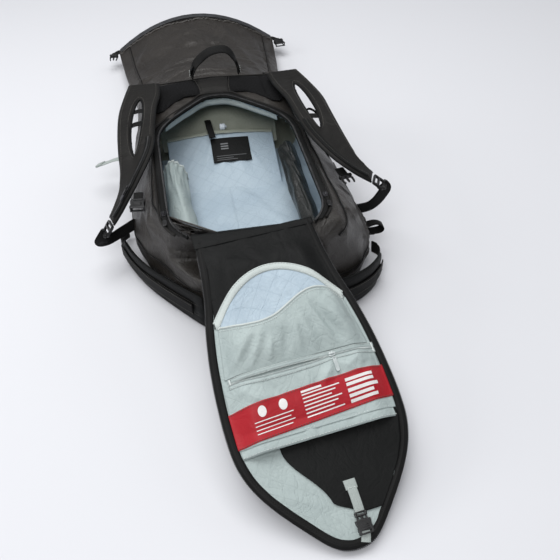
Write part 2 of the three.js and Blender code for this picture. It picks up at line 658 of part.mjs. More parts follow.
// ---------------------------------------------------------------- back panel
// The panel is built flat in its own frame: X across, -Y from the hinge to its top, +Z to its inner face.
const hingeTurn = new THREE.Group();
hingeTurn.position.set(0, HINGE_Y, BACK_HEIGHT);
hingeTurn.rotation.z = HINGE_YAW;
const hingeTilt = new THREE.Group();
hingeTilt.rotation.x = PANEL_TILT;
const panel = new THREE.Group();
panel.rotation.z = HINGE_YAW;
pack.add(hingeTurn);
hingeTurn.add(hingeTilt);
hingeTilt.add(panel);

const PANEL_STOPS = PANEL_HALF_WIDTH.map(([v]) => v);
// The panel's outline from v0 to v1, drawn in by inset at the sides and at its far end.
function panelOutline(v0, v1, inset) {
  const stops = [v0, ...PANEL_STOPS.filter((v) => v > v0 + 1 && v < v1 - 1), v1];
  return mirrored((v) => Math.max(panelHalf(v) - inset, 4), stops, -1).reverse();
}
const BOARD = 1.5; // half the frame sheet's thickness
const FACE = BOARD + GAP; // where the cloth on each face starts
const SLEEVE_TOP = 16;
const POCKET_BASE = SLEEVE_TOP + GAP;
const PANEL_START = 5;

const SHEET_START = PANEL_START + 6; // the sheets stop short of the binding's outer edge
const SHEET_END = PANEL_LENGTH - 12;
const FACE_CLOTH = 1.2;

const frameOutline = panelOutline(SHEET_START, SHEET_END - 2, 12);
add(panel, "frame_sheet", plate(frameOutline, -BOARD, BOARD), boardPlastic);
const faceOutline = panelOutline(SHEET_START, SHEET_END, 9);
add(panel, "panel_lining", plate(faceOutline, FACE, FACE + FACE_CLOTH), liningCloth);

// Binding with the panel's half of the main zip, round the edge.
function panelBinding() {
  const outer = plate(panelOutline(PANEL_START, PANEL_LENGTH, 0), -3.5, 3.5);
  return outer.subtract(plate(panelOutline(PANEL_START + 5.5, PANEL_LENGTH - 10, 8.5), -10, 10));
}
add(panel, "panel_binding", panelBinding(), webbingCloth);

// The moulded foam on the side that rests on the wearer's back: a thin sheet with two back pads and a
// lumbar pad.
const PAD_DEEP = 11;
function backFoam() {
  const sheetLow = -FACE - 1.6;
  const sheet = plate(faceOutline, sheetLow, -FACE);
  const padOutlines = [
    roundedRectangle(-84, -20, -405, -150, 24),
    roundedRectangle(20, 84, -405, -150, 24),
    roundedRectangle(-78, 78, -136, -40, 26),
  ];
  const pads = padOutlines.map((outline) => plate(outline, sheetLow - PAD_DEEP, sheetLow + 0.5));
  return pads.reduce((made, pad) => made.add(pad), sheet);
}
add(panel, "back_foam", backFoam(), meshFoam);

// The reservoir sleeve covers the panel from near the hinge to its mouth, and the other pockets sit on it.
const SLEEVE = { v0: 24, mouth: 343, inset: 12 };
function reservoirSleeve() {
  const base = FACE + FACE_CLOTH + GAP;
  const outer = plate(panelOutline(SLEEVE.v0, SLEEVE.mouth, SLEEVE.inset), base, SLEEVE_TOP);
  const room = panelOutline(SLEEVE.v0 + 2, SLEEVE.mouth + 30, SLEEVE.inset + 2);
  return outer.subtract(plate(room, base - 5, SLEEVE_TOP - FACE_CLOTH));
}
add(panel, "reservoir_sleeve", reservoirSleeve(), liningCloth);

// Tough black cloth faces the panel from the hinge to the goggle pocket's arched mouth.
function goggleMouth(x) {
  return GOGGLE.mouth + (GOGGLE.ends - GOGGLE.mouth) * Math.min(1, (x / GOGGLE.halfMouth) ** 2);
}
function panelBase() {
  const across = [-92, -70, -45, -20, 0, 20, 45, 70, 92];
  const edge = across.map((x) => new THREE.Vector2(x, 3 - goggleMouth(x)));
  const lipEdge = [86, -86].map((x) => new THREE.Vector2(x, -PANEL_START - 8));
  return plate([...edge, ...lipEdge], POCKET_BASE, POCKET_BASE + FACE_CLOTH);
}

// The goggle pocket bulges most at its arched mouth, which faces the hinge. Its edges are sewn down.
const GOGGLE = { mouth: 78, ends: 146, foot: 228, crown: 20, cloth: 1.6, halfMouth: 98, halfFoot: 110 };
function gogglePocket() {
  const rows = [0, 0.15, 0.35, 0.55, 0.75, 0.9, 1].map((s) => {
    const half = THREE.MathUtils.lerp(GOGGLE.halfMouth, GOGGLE.halfFoot, s);
    return [-1, -0.92, -0.75, -0.5, -0.2, 0.2, 0.5, 0.75, 0.92, 1].map((t) => {
      const v = THREE.MathUtils.lerp(goggleMouth(t * half), GOGGLE.foot, s);
      return V(t * half, -v, POCKET_BASE + GOGGLE.cloth + GOGGLE.crown * (1 - t ** 6) * (1 - s ** 3));
    });
  });
  return clothSheet(rows, V(0, 0, -GOGGLE.cloth));
}
add(panel, "goggle_pocket", gogglePocket(), liningCloth);
add(panel, "panel_base", panelBase(), blackCloth);

// The zipped pocket is flat, and its slit runs along the edge by the goggle pocket.
const ZIP = { v: 238, x0: -101, x1: 112, at: 47, deep: 13, foot: 332 };
function zipPocket() {
  const top = POCKET_BASE + ZIP.deep;
  const outer = plate(panelOutline(ZIP.v + 8, ZIP.foot, 14), POCKET_BASE, top);
  const room = panelOutline(ZIP.v + 10, ZIP.foot - 3, 17);
  const inner = plate(room, POCKET_BASE + FACE_CLOTH, top - FACE_CLOTH);
  const slit = box(ZIP.x0, ZIP.at - 8, -ZIP.v - 12, -ZIP.v - 4, POCKET_BASE + 1.6, top - 1.6);
  return outer.subtract(inner).subtract(slit);
}
add(panel, "zip_pocket", zipPocket(), liningCloth);
const pocketZip = box(ZIP.x0 - 6, ZIP.x1 + 4, -ZIP.v - 7, -ZIP.v + 7, POCKET_BASE + GAP, POCKET_BASE + 2);
add(panel, "pocket_zip_tape", pocketZip, liningCloth);
const CARD_Z = POCKET_BASE + ZIP.deep + GAP;
const CARD_CORNERS = [[-112, 322], [111, 314], [111, 267], [-112, 280]];
const CARD = CARD_CORNERS.map(([x, v]) => new THREE.Vector2(x, -v));
add(panel, "info_card", plate(CARD, CARD_Z, CARD_Z + 1), redCloth);

const pocketSlider = new THREE.Group();
pocketSlider.position.set(ZIP.at, -ZIP.v, POCKET_BASE + 2 + GAP);
const PULL_Z = ZIP.deep - 1.4; // the pull lies on the pocket
const pocketSliderBody = box(-6, 6, -4, 4, 0, 3);
const pocketSliderPost = box(-1.5, 1.5, -3.5, 2, 2.9, PULL_Z + 2);
add(pocketSlider, "pocket_slider", pocketSliderBody.add(pocketSliderPost), greyWebbing);
add(pocketSlider, "pocket_pull", box(-3, 3, -28, -5.6, PULL_Z, PULL_Z + 1.8), greyWebbing);
panel.add(pocketSlider);

// Hanger for the reservoir: webbing through a small side-release buckle, sewn to the panel's top.
const HANG_X = 15;
const HANG_Z = FACE + FACE_CLOTH + GAP;
const HANG_DEEP = 7;
const hangPath = [[-418, 2], [-436, 4], [-451, 4]].map(([y, lift]) => V(HANG_X, y, HANG_Z + lift));
add(panel, "hanger_webbing", ribbon(even(hangPath, V(0, 0, 1), 7, 1.6), 5), greyWebbing);
const hookEnd = box(HANG_X - 9, HANG_X + 9, -460, -452, HANG_Z, HANG_Z + HANG_DEEP)
  .add(box(HANG_X - 8, HANG_X - 5.5, -473, -459, HANG_Z + 2, HANG_Z + 5))
  .add(box(HANG_X + 5.5, HANG_X + 8, -473, -459, HANG_Z + 2, HANG_Z + 5));
const clipRoom = box(HANG_X - 8.6, HANG_X + 8.6, -475, -461, HANG_Z + 1.4, HANG_Z + 5.6);
const clipBody = box(HANG_X - 11, HANG_X + 11, -481, -462, HANG_Z, HANG_Z + HANG_DEEP);
add(panel, "hanger_buckle_male", hookEnd, blackPlastic);
add(panel, "hanger_buckle_female", clipBody.subtract(clipRoom), blackPlastic);

export default pack;
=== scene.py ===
# %% [markdown]
# # A ski-touring backpack with its back panel folded out
# The pack lies on its front. Its back panel is unzipped and folded out, so the lining and the pockets show.
# The rigid frame comes from the CAD model. This lesson sews the cloth, padding, webbing, zips and buckles on
# it.

# %% Load the frame
import json
import math
import random

import bmesh
import bpy
import numpy as np
from mathutils import Matrix, Vector, noise
from mathutils.bvhtree import BVHTree


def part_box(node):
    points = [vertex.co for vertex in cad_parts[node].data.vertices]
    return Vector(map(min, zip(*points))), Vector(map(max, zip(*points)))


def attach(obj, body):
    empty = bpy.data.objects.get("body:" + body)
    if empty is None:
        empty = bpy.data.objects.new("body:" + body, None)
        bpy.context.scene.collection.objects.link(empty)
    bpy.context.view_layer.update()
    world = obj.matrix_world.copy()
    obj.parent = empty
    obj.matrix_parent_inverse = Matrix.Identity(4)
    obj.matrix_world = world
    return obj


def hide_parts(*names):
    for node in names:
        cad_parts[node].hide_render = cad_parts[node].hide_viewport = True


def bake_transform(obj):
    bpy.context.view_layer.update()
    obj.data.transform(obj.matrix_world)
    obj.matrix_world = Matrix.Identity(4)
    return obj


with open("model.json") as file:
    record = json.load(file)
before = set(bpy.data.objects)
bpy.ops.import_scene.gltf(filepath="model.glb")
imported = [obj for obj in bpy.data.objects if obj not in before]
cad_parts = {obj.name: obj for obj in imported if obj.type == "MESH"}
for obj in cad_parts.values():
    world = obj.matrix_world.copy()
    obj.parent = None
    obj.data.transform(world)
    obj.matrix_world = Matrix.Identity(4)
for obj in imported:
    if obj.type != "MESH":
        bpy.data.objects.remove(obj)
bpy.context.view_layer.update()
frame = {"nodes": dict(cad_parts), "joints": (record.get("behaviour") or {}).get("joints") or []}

joints = {joint["name"]: joint for joint in frame["joints"]}

# %% [markdown]
# ## Camera, floor and light
# The pack is seen from its lower end, from standing height. A pale floor and four soft lamps give the even
# light of a small studio. One low lamp from the left puts a sheen on the creases, which flat light would
# lose.

# %% Camera
scene = bpy.context.scene
EYE = (-0.1126, -1.1705, 0.9059)
LENS = 46.13
TURN, TIP, ROLL = -0.176, math.pi / 2 - 0.752, -0.014
camera = bpy.data.objects.new("camera", bpy.data.cameras.new("camera"))
camera.data.lens = LENS
camera.matrix_world = (
    Matrix.Translation(EYE) @ Matrix.Rotation(TURN, 4, "Z")
    @ Matrix.Rotation(TIP, 4, "X") @ Matrix.Rotation(ROLL, 4, "Z")
)
scene.collection.objects.link(camera)
scene.camera = camera
print("camera", EYE, "lens", camera.data.lens)


# %% Colours, floor and lamps
def colour(red, green, blue):
    """A colour from the 0 to 255 scale of a colour chart, as the linear values that shaders take."""
    return (
        tuple(((c / 255 + 0.055) / 1.055) ** 2.4 if c > 10 else c / 3295 for c in (red, green, blue)) + (1.0,)
    )


def plain_material(name, shade, roughness, metallic=0.0):
    material = bpy.data.materials.new(name)
    material.use_nodes = True
    shader = material.node_tree.nodes["Principled BSDF"]
    shader.inputs["Base Color"].default_value = shade
    shader.inputs["Roughness"].default_value = roughness
    shader.inputs["Metallic"].default_value = metallic
    return material, shader


floor_mesh = bpy.data.meshes.new("studio_floor")
REACH = 6.0
floor_mesh.from_pydata(
    [(-REACH, -REACH, 0), (REACH, -REACH, 0), (REACH, REACH, 0), (-REACH, REACH, 0)], [], [(0, 1, 2, 3)]
)
floor = bpy.data.objects.new("studio_floor", floor_mesh)
floor.data.materials.append(plain_material("studio_paper", colour(208, 209, 213), 0.9)[0])
scene.collection.objects.link(floor)

LAMPS = {  # place, aim, size, watts
    "softbox_over": ((-0.3, 0.5, 2.7), (0, 0, 0), 2.4, 72),
    "softbox_front": ((-0.5, -1.9, 2.3), (0, 0, 0.1), 1.3, 36),
    "softbox_left": ((-2.2, 0.3, 1.4), (0, 0, 0.1), 1.0, 17),
    "softbox_right": ((2.0, 0.9, 1.8), (0, -0.1, 0), 1.6, 9),
}
for name, (at, aim, size, watts) in LAMPS.items():
    lamp = bpy.data.lights.new(name, "AREA")
    lamp.shape, lamp.size, lamp.energy = "SQUARE", size, watts
    holder = bpy.data.objects.new(name, lamp)
    holder.location = at
    holder.rotation_euler = (Vector(aim) - Vector(at)).to_track_quat("-Z", "Y").to_euler()
    scene.collection.objects.link(holder)
world = bpy.data.worlds.new("studio_air")
world.use_nodes = True
world.node_tree.nodes["Background"].inputs["Color"].default_value = colour(236, 239, 246)
world.node_tree.nodes["Background"].inputs["Strength"].default_value = 0.20
scene.world = world
scene.view_settings.view_transform = "Standard"
print("lamps:", ", ".join(LAMPS))

# %% [markdown]
# ## Effects that the cloths share
# Woven cloth is threads that pass over and under each other. Every piece of cloth here carries a map named
# "cloth" that measures it in metres, so a weave keeps its scale and follows a strap round its bends. The
# weave, the diamond ripstop, the ribs of webbing, the holes of spacer mesh and the small wrinkles are node
# groups with their own inputs.


# %% A small kit for node trees
class Nodes:
    """Adds nodes to one tree and wires them up by name."""

    def __init__(self, tree):
        self.tree = tree

    def put(self, kind, values=(), **settings):
        made = self.tree.nodes.new("ShaderNode" + kind)
        for key, value in settings.items():
            setattr(made, key, value)
        for socket, value in dict(values).items():
            if isinstance(value, bpy.types.NodeSocket):
                self.tree.links.new(value, made.inputs[socket])
            else:
                made.inputs[socket].default_value = value
        return made

    def math(self, operation, a, b=0.0, c=0.0):
        return self.put("Math", {0: a, 1: b, 2: c}, operation=operation).outputs[0]

    def join(self, source, target):
        self.tree.links.new(source, target)


def effect(name, inputs, outputs):
    """A new node group with named inputs and outputs. Returns its kit, its input node and its output node."""
    group = bpy.data.node_groups.new(name, "ShaderNodeTree")
    for label, kind, value in inputs:
        socket = group.interface.new_socket(label, in_out="INPUT", socket_type="NodeSocket" + kind)
        if value is not None:
            socket.default_value = value
    for label, kind in outputs:
        group.interface.new_socket(label, in_out="OUTPUT", socket_type="NodeSocket" + kind)
    return Nodes(group), group.nodes.new("NodeGroupInput"), group.nodes.new("NodeGroupOutput")


# %% The effects
def make_weave():
    kit, given, result = effect(
        "weave", [("Cloth", "Vector", None), ("Threads", "Float", 900.0)], [("Height", "Float")]
    )
    scaled = kit.put(
        "VectorMath", {0: given.outputs["Cloth"], "Scale": given.outputs["Threads"]}, operation="SCALE"
    )
    part = kit.put("SeparateXYZ", {0: scaled.outputs[0]})
    warp = kit.math("SINE", kit.math("MULTIPLY", part.outputs[0], math.pi))
    weft = kit.math("SINE", kit.math("MULTIPLY", part.outputs[1], math.pi))
    kit.join(kit.math("MULTIPLY_ADD", kit.math("MULTIPLY", warp, weft), 0.5, 0.5), result.inputs["Height"])


def make_ripstop():
    kit, given, result = effect(
        "diamond_ripstop",
        [("Cloth", "Vector", None), ("Spacing", "Float", 0.02), ("Line", "Float", 0.05)],
        [("Line", "Float"), ("Height", "Float")],
    )
    turned = kit.put(
        "VectorRotate", {"Vector": given.outputs["Cloth"], "Angle": math.radians(38)}, rotation_type="Z_AXIS"
    )
    size = kit.math("DIVIDE", 1.0, given.outputs["Spacing"])
    scaled = kit.put("VectorMath", {0: turned.outputs[0], "Scale": size}, operation="SCALE")
    part = kit.put("SeparateXYZ", {0: scaled.outputs[0]})
    ridges = []
    for axis in (0, 1):
        stretched = kit.math("MULTIPLY", part.outputs[axis], 1.0 if axis else 1.5)
        off = kit.math("ABSOLUTE", kit.math("SUBTRACT", kit.math("FRACT", stretched), 0.5))
        ridges.append(kit.math("SMOOTH_MIN", kit.math("DIVIDE", off, given.outputs["Line"]), 1.0, 0.4))
    low = kit.math("MINIMUM", *ridges)
    kit.join(kit.math("SUBTRACT", 1.0, low), result.inputs["Line"])
    kit.join(low, result.inputs["Height"])


def make_wrinkles():
    kit, given, result = effect(
        "small_wrinkles", [
            ("Place", "Vector", None), ("Size", "Float", 40.0), ("Stretch", "Float", 1.0)
        ], [("Height", "Float")]
    )
    stretched = kit.put("CombineXYZ", {0: 1.0, 1: given.outputs["Stretch"], 2: 1.0})
    place = kit.put("VectorMath", {0: given.outputs["Place"], 1: stretched.outputs[0]}, operation="MULTIPLY")
    bent = kit.put(
        "TexNoise",
        {"Vector": place.outputs[0], "Scale": given.outputs["Size"], "Detail": 2.0, "Distortion": 1.4}
    )
    ridge = kit.math("ABSOLUTE", kit.math("SUBTRACT", bent.outputs[0], 0.5))
    kit.join(kit.math("POWER", kit.math("MULTIPLY", ridge, 2.0), 0.6), result.inputs["Height"])


def make_dye():
    kit, given, result = effect(
        "uneven_dye",
        [
            ("Place", "Vector", None), ("Shade", "Color", (0.5, 0.5, 0.5, 1)),
            ("Worn", "Color", (0.6, 0.6, 0.6, 1)), ("Amount", "Float", 0.4)
        ],
        [("Colour", "Color"), ("Mask", "Float")],
    )
    broad = kit.put("TexNoise", {"Vector": given.outputs["Place"], "Scale": 14.0, "Detail": 4.0})
    fine = kit.put("TexNoise", {"Vector": given.outputs["Place"], "Scale": 420.0, "Detail": 2.0})
    mixed = kit.math("MULTIPLY_ADD", fine.outputs[0], 0.35, kit.math("MULTIPLY", broad.outputs[0], 0.65))
    spread = kit.put("MapRange", {0: mixed, 1: 0.36, 2: 0.66}, interpolation_type="SMOOTHSTEP")
    mask = kit.math("MULTIPLY", spread.outputs[0], given.outputs["Amount"])
    blend = kit.put("Mix", {0: mask, 6: given.outputs["Shade"], 7: given.outputs["Worn"]}, data_type="RGBA")
    kit.join(blend.outputs[2], result.inputs["Colour"])
    kit.join(mask, result.inputs["Mask"])


def make_ribs():
    kit, given, result = effect(
        "webbing_ribs", [("Cloth", "Vector", None), ("Ribs", "Float", 620.0)], [("Height", "Float")]
    )
    part = kit.put("SeparateXYZ", {0: given.outputs["Cloth"]})
    across = kit.math("MULTIPLY", part.outputs[0], given.outputs["Ribs"])
    length = kit.math("MULTIPLY", part.outputs[1], given.outputs["Ribs"])
    slant = kit.math("PINGPONG", across, 2.0)
    twill = kit.math("SINE", kit.math("MULTIPLY", kit.math("ADD", length, slant), math.pi))
    rib = kit.math("ABSOLUTE", kit.math("SINE", kit.math("MULTIPLY", across, math.pi / 2)))
    kit.join(kit.math("MULTIPLY_ADD", twill, 0.3, kit.math("MULTIPLY", rib, 0.7)), result.inputs["Height"])


def make_spacer():
    kit, given, result = effect(
        "spacer_mesh", [("Cloth", "Vector", None), ("Holes", "Float", 330.0)],
        [("Hole", "Float"), ("Height", "Float")]
    )
    cells = kit.put(
        "TexVoronoi", {"Vector": given.outputs["Cloth"], "Scale": given.outputs["Holes"], "Randomness": 0.25},
        voronoi_dimensions="2D"
    )
    hole = kit.put(
        "MapRange", {0: cells.outputs["Distance"], 1: 0.42, 2: 0.22}, interpolation_type="SMOOTHSTEP"
    )
    kit.join(hole.outputs[0], result.inputs["Hole"])
    kit.join(kit.math("SUBTRACT", 1.0, hole.outputs[0]), result.inputs["Height"])


for maker in (make_weave, make_ripstop, make_wrinkles, make_dye, make_ribs, make_spacer):
    maker()
print("effects:", ", ".join(group.name for group in bpy.data.node_groups))

# %% [markdown]
# ## The finishes
# One recipe serves every cloth. The dye varies a little, the thread or rib pattern lifts the surface, and the
# wrinkles of handled cloth run through it. Sheen stands for the short fibres, which catch light at a grazing
# angle.


# %% The cloth recipe
def cloth_material(
    name, shade, worn, pattern="weave", count=900.0, depth=0.00025, wrinkle=0.0006, roughness=0.75,
    sheen=0.25, worn_amount=0.5, wrinkle_size=38.0, spacing=None, line=0.05, line_shade=None, shine=0.25,
):
    material, shader = plain_material(name, shade, roughness)
    kit = Nodes(material.node_tree)
    cloth = kit.put("UVMap", uv_map="cloth").outputs[0]
    place = kit.put("TexCoord").outputs["Object"]

    def group(which, **values):
        made = kit.put("Group", node_tree=bpy.data.node_groups[which])
        for label, value in values.items():
            if isinstance(value, bpy.types.NodeSocket):
                kit.join(value, made.inputs[label])
            else:
                made.inputs[label].default_value = value
        return made

    dye = group("uneven_dye", Place=place, Shade=shade, Worn=worn, Amount=worn_amount)
    tint = dye.outputs["Colour"]
    if pattern == "weave":
        threads = group("weave", Cloth=cloth, Threads=count).outputs["Height"]
    elif pattern == "ribs":
        threads = group("webbing_ribs", Cloth=cloth, Ribs=count).outputs["Height"]
    else:
        spacer = group("spacer_mesh", Cloth=cloth, Holes=count)
        threads = spacer.outputs["Height"]
        # The mesh's holes are painted near black, darker than the mesh itself: painted shade inside the
        # holes.
        painted_hole_shade = kit.put(
            "Mix", {0: spacer.outputs["Hole"], 6: tint, 7: (0.002, 0.002, 0.002, 1)}, data_type="RGBA"
        )
        tint = painted_hole_shade.outputs[2]
    if spacing:
        ripstop = group("diamond_ripstop", Cloth=cloth, Spacing=spacing, Line=line)
        soft = kit.math("MULTIPLY", ripstop.outputs["Line"], 0.45)
        lined = kit.put("Mix", {0: soft, 6: tint, 7: line_shade}, data_type="RGBA")
        tint = lined.outputs[2]
    kit.join(tint, shader.inputs["Base Color"])
    rough = kit.put("MapRange", {0: threads, 3: roughness + 0.08, 4: roughness - 0.06})
    kit.join(rough.outputs[0], shader.inputs["Roughness"])
    creases = group("small_wrinkles", Place=place, Size=wrinkle_size).outputs["Height"]
    lift = kit.put("Bump", {"Height": creases, "Distance": wrinkle, "Strength": 0.8})
    surface = kit.put(
        "Bump", {"Height": threads, "Distance": depth, "Strength": 0.7, "Normal": lift.outputs[0]}
    )
    if spacing:
        surface = kit.put(
            "Bump",
            {
                "Height": ripstop.outputs["Height"], "Distance": 0.0004, "Strength": 0.6,
                "Normal": surface.outputs[0]
            }
        )
    kit.join(surface.outputs[0], shader.inputs["Normal"])
    shader.inputs["Specular IOR Level"].default_value = shine
    shader.inputs["Sheen Weight"].default_value = sheen
    shader.inputs["Sheen Roughness"].default_value = 0.45
    shader.inputs["Sheen Tint"].default_value = worn
    return material


# %% The cloths
finishes = {
    "shell_cloth": cloth_material(
        "shell_cloth", colour(37, 34, 31), colour(52, 48, 44), count=1100, sheen=0.02, roughness=0.4,
        wrinkle=0.0014, shine=0.5
    ),
    "strap_cloth": cloth_material(
        "strap_cloth", colour(24, 23, 22), colour(36, 35, 33), count=900, sheen=0.01, roughness=0.55,
        wrinkle=0.0006, shine=0.16
    ),
    "black_cloth": cloth_material(
        "black_cloth", colour(13, 14, 14), colour(23, 24, 24), count=950, sheen=0.0, roughness=0.52,
        wrinkle=0.0007, shine=0.13
    ),
    "coated_cloth": cloth_material(
        "coated_cloth", colour(22, 24, 23), colour(38, 40, 38), count=1300, sheen=0.0, roughness=0.34,
        wrinkle=0.0014, shine=0.5
    ),
    "lining_cloth": cloth_material(
        "lining_cloth", colour(160, 176, 188), colour(182, 196, 204), count=1600, depth=0.00012, sheen=0.1,
        roughness=0.42,
        wrinkle=0.0010, worn_amount=0.45, spacing=0.03, line=0.05, line_shade=colour(148, 165, 177),
    ),
    "panel_cloth": cloth_material(
        "panel_cloth", colour(158, 170, 169), colour(178, 189, 187), count=1500, depth=0.00014, sheen=0.1,
        roughness=0.5,
        wrinkle=0.0012, worn_amount=0.4, spacing=0.024, line=0.04, line_shade=colour(160, 172, 171),
    ),
    "olive_cloth": cloth_material(
        "olive_cloth", colour(132, 136, 124), colour(156, 160, 148), count=1300, roughness=0.5
    ),
    "pale_tape": cloth_material(
        "pale_tape", colour(182, 190, 188), colour(198, 205, 202), pattern="ribs", count=900, roughness=0.62
    ),
    "red_cloth": cloth_material(
        "red_cloth", colour(158, 26, 36), colour(176, 36, 46), count=1700, depth=0.0001, roughness=0.5,
        worn_amount=0.35
    ),
    "white_print": cloth_material(
        "white_print", colour(226, 224, 222), colour(206, 202, 202), count=1700, depth=0.0001, roughness=0.6
    ),
    "grey_print": cloth_material(
        "grey_print", colour(120, 122, 124), colour(96, 98, 100), count=1700, depth=0.0001, roughness=0.6
    ),
    "webbing": cloth_material(
        "webbing", colour(16, 16, 16), colour(28, 28, 28), pattern="ribs", count=620, depth=0.0004,
        wrinkle=0.0002, roughness=0.6, sheen=0.01, shine=0.14
    ),
    "grey_webbing": cloth_material(
        "grey_webbing", colour(150, 158, 155), colour(172, 179, 176), pattern="ribs", count=620, depth=0.0004,
        wrinkle=0.0002, roughness=0.68
    ),
    "mesh_foam": cloth_material(
        "mesh_foam", colour(17, 17, 18), colour(28, 28, 30), pattern="mesh", sheen=0.0, shine=0.12, count=300,
        depth=0.0006, wrinkle=0.0003, roughness=0.85
    ),
    "black_thread": cloth_material(
        "black_thread", colour(20, 20, 20), colour(34, 34, 34), pattern="ribs", count=2400, roughness=0.55,
        sheen=0.0, shine=0.15
    ),
    "grey_thread": cloth_material(
        "grey_thread", colour(84, 82, 78), colour(104, 102, 98), pattern="ribs", count=2400, roughness=0.55,
        sheen=0.0
    ),
    "pale_thread": cloth_material(
        "pale_thread", colour(206, 212, 210), colour(220, 224, 222), pattern="ribs", count=2400,
        roughness=0.55
    ),
}
print(len(finishes), "cloths")

# %% [markdown]
# Moulded plastic is rarely flat. It has a fine spark-eroded grain, rubbed patches and a slightly uneven
# gloss. The same recipe makes the buckles, the board inside the panel, the painted zip sliders and the clear
# cord lock.


# %% The moulded and cast finishes
def make_moulded():
    kit, given, result = effect(
        "moulded_grain", [("Place", "Vector", None), ("Grain", "Float", 1800.0)],
        [("Height", "Float"), ("Rub", "Float")]
    )
    grain = kit.put(
        "TexNoise", {"Vector": given.outputs["Place"], "Scale": given.outputs["Grain"], "Detail": 3.0}
    )
    smear = kit.put("TexNoise", {"Vector": given.outputs["Place"], "Scale": 55.0, "Detail": 4.0})
    kit.join(grain.outputs[0], result.inputs["Height"])
    kit.join(smear.outputs[0], result.inputs["Rub"])


def hard_material(name, shade, rubbed, roughness, metallic=0.0, grain=1800.0):
    material, shader = plain_material(name, shade, roughness, metallic)
    kit = Nodes(material.node_tree)
    moulded = kit.put("Group", node_tree=bpy.data.node_groups["moulded_grain"])
    kit.join(kit.put("TexCoord").outputs["Object"], moulded.inputs["Place"])
    moulded.inputs["Grain"].default_value = grain
    rub = kit.put("MapRange", {0: moulded.outputs["Rub"], 1: 0.35, 2: 0.7})
    tint = kit.put("Mix", {0: rub.outputs[0], 6: shade, 7: rubbed}, data_type="RGBA")
    kit.join(tint.outputs[2], shader.inputs["Base Color"])
    kit.join(
        kit.put("MapRange", {0: moulded.outputs["Rub"], 3: roughness - 0.1, 4: roughness + 0.12}).outputs[0],
        shader.inputs["Roughness"]
    )
    kit.join(
        kit.put(
            "Bump", {"Height": moulded.outputs["Height"], "Distance": 0.00008, "Strength": 0.5}
        ).outputs[0],
        shader.inputs["Normal"]
    )
    return material


make_moulded()
finishes["black_plastic"] = hard_material("black_plastic", colour(14, 14, 15), colour(28, 28, 30), 0.36)
finishes["board_plastic"] = hard_material(
    "board_plastic", colour(40, 41, 43), colour(56, 57, 60), 0.5, grain=700.0
)
finishes["slider_metal"] = hard_material(
    "slider_metal", colour(46, 46, 48), colour(88, 88, 92), 0.32, metallic=0.85
)
finishes["pale_metal"] = hard_material(
    "pale_metal", colour(168, 176, 176), colour(196, 202, 202), 0.38, metallic=0.3
)
finishes["coil_black"] = hard_material("coil_black", colour(26, 26, 27), colour(58, 58, 60), 0.3)
finishes["coil_pale"] = hard_material("coil_pale", colour(170, 178, 178), colour(196, 202, 200), 0.35)
finishes["clear_plastic"] = hard_material("clear_plastic", colour(196, 206, 214), colour(226, 232, 238), 0.15)
print("finishes:", ", ".join(sorted(finishes)))

# %% [markdown]
# ## Tools for sewing
# All the shapes are worked out in millimetres and turned into metres when a mesh is made. A sheet of cloth is
# a grid of points, so it can be pushed along its own normals into folds. Straps and tubes are sections swept
# along a path.

# %% From a grid of points to a mesh
MM = 0.001


def new_piece(name, points, faces, finish, cloth=None):
    mesh = bpy.data.meshes.new(name)
    mesh.from_pydata((np.asarray(points, float) * MM).tolist(), [], faces)
    if cloth is not None:
        corners = np.empty(len(mesh.loops), int)
        mesh.loops.foreach_get("vertex_index", corners)
        layer = mesh.uv_layers.new(name="cloth")
        layer.data.foreach_set("uv", (np.asarray(cloth, float) * MM)[corners].astype(np.float32).ravel())
    mesh.materials.append(finishes[finish])
    mesh.shade_smooth()
    mesh.update()
    piece = bpy.data.objects.new(name, mesh)
    scene.collection.objects.link(piece)
    return piece


def apply_modifiers(piece):
    """Bakes the piece's modifiers into its mesh."""
    shaped = piece.evaluated_get(bpy.context.evaluated_depsgraph_get())
    mesh = bpy.data.meshes.new_from_object(shaped)
    piece.modifiers.clear()
    piece.data = mesh
    return piece


def thicken(piece, thick, offset=-1.0):
    modifier = piece.modifiers.new("cloth_thickness", "SOLIDIFY")
    modifier.thickness, modifier.offset = thick * MM, offset
    return apply_modifiers(piece)


def distances(points):
    """The running length along rows of points."""
    steps = np.linalg.norm(np.diff(points, axis=0), axis=-1)
    return np.concatenate([[0.0], np.cumsum(steps)])


def normals_of(grid, wrap=False):
    """The outward normal at each point of a grid, across from left to right and along from start to end."""
    if wrap:
        across = np.roll(grid, -1, 1) - np.roll(grid, 1, 1)
    else:
        across = np.gradient(grid, axis=1)
    normal = np.cross(across, np.gradient(grid, axis=0))
    return normal / np.maximum(np.linalg.norm(normal, axis=2, keepdims=True), 1e-9)


def push(grid, amount, wrap=False):
    return grid + normals_of(grid, wrap) * np.asarray(amount)[..., None]


def cloth_piece(name, grid, finish, wrap=False, thick=0.0, keep=None, offset=-1.0):
    """A sheet from a grid of points. wrap joins its last column to its first, and keep says which faces to
    sew."""
    rows, columns = grid.shape[:2]
    number = np.arange(rows * columns).reshape(rows, columns)
    right = np.roll(number, -1, 1) if wrap else number[:, 1:]
    left = number if wrap else number[:, :-1]
    quads = np.stack([left[:-1], right[:-1], right[1:], left[1:]], -1).reshape(-1, 4)
    if keep is not None:
        quads = quads[keep.reshape(-1)]
    along = distances(grid[:, columns // 2])
    over = distances(grid[rows // 2])
    cloth = np.stack(np.broadcast_arrays(over[None, :], along[:, None]), -1).reshape(-1, 2)
    piece = new_piece(name, grid.reshape(-1, 3), quads.tolist(), finish, cloth)
    if keep is not None:
        drop_loose(piece)
    return thicken(piece, thick, offset) if thick else piece


def drop_loose(piece):
    tidy = bmesh.new()
    tidy.from_mesh(piece.data)
    bmesh.ops.delete(tidy, geom=[v for v in tidy.verts if not v.link_faces], context="VERTS")
    tidy.to_mesh(piece.data)
    tidy.free()


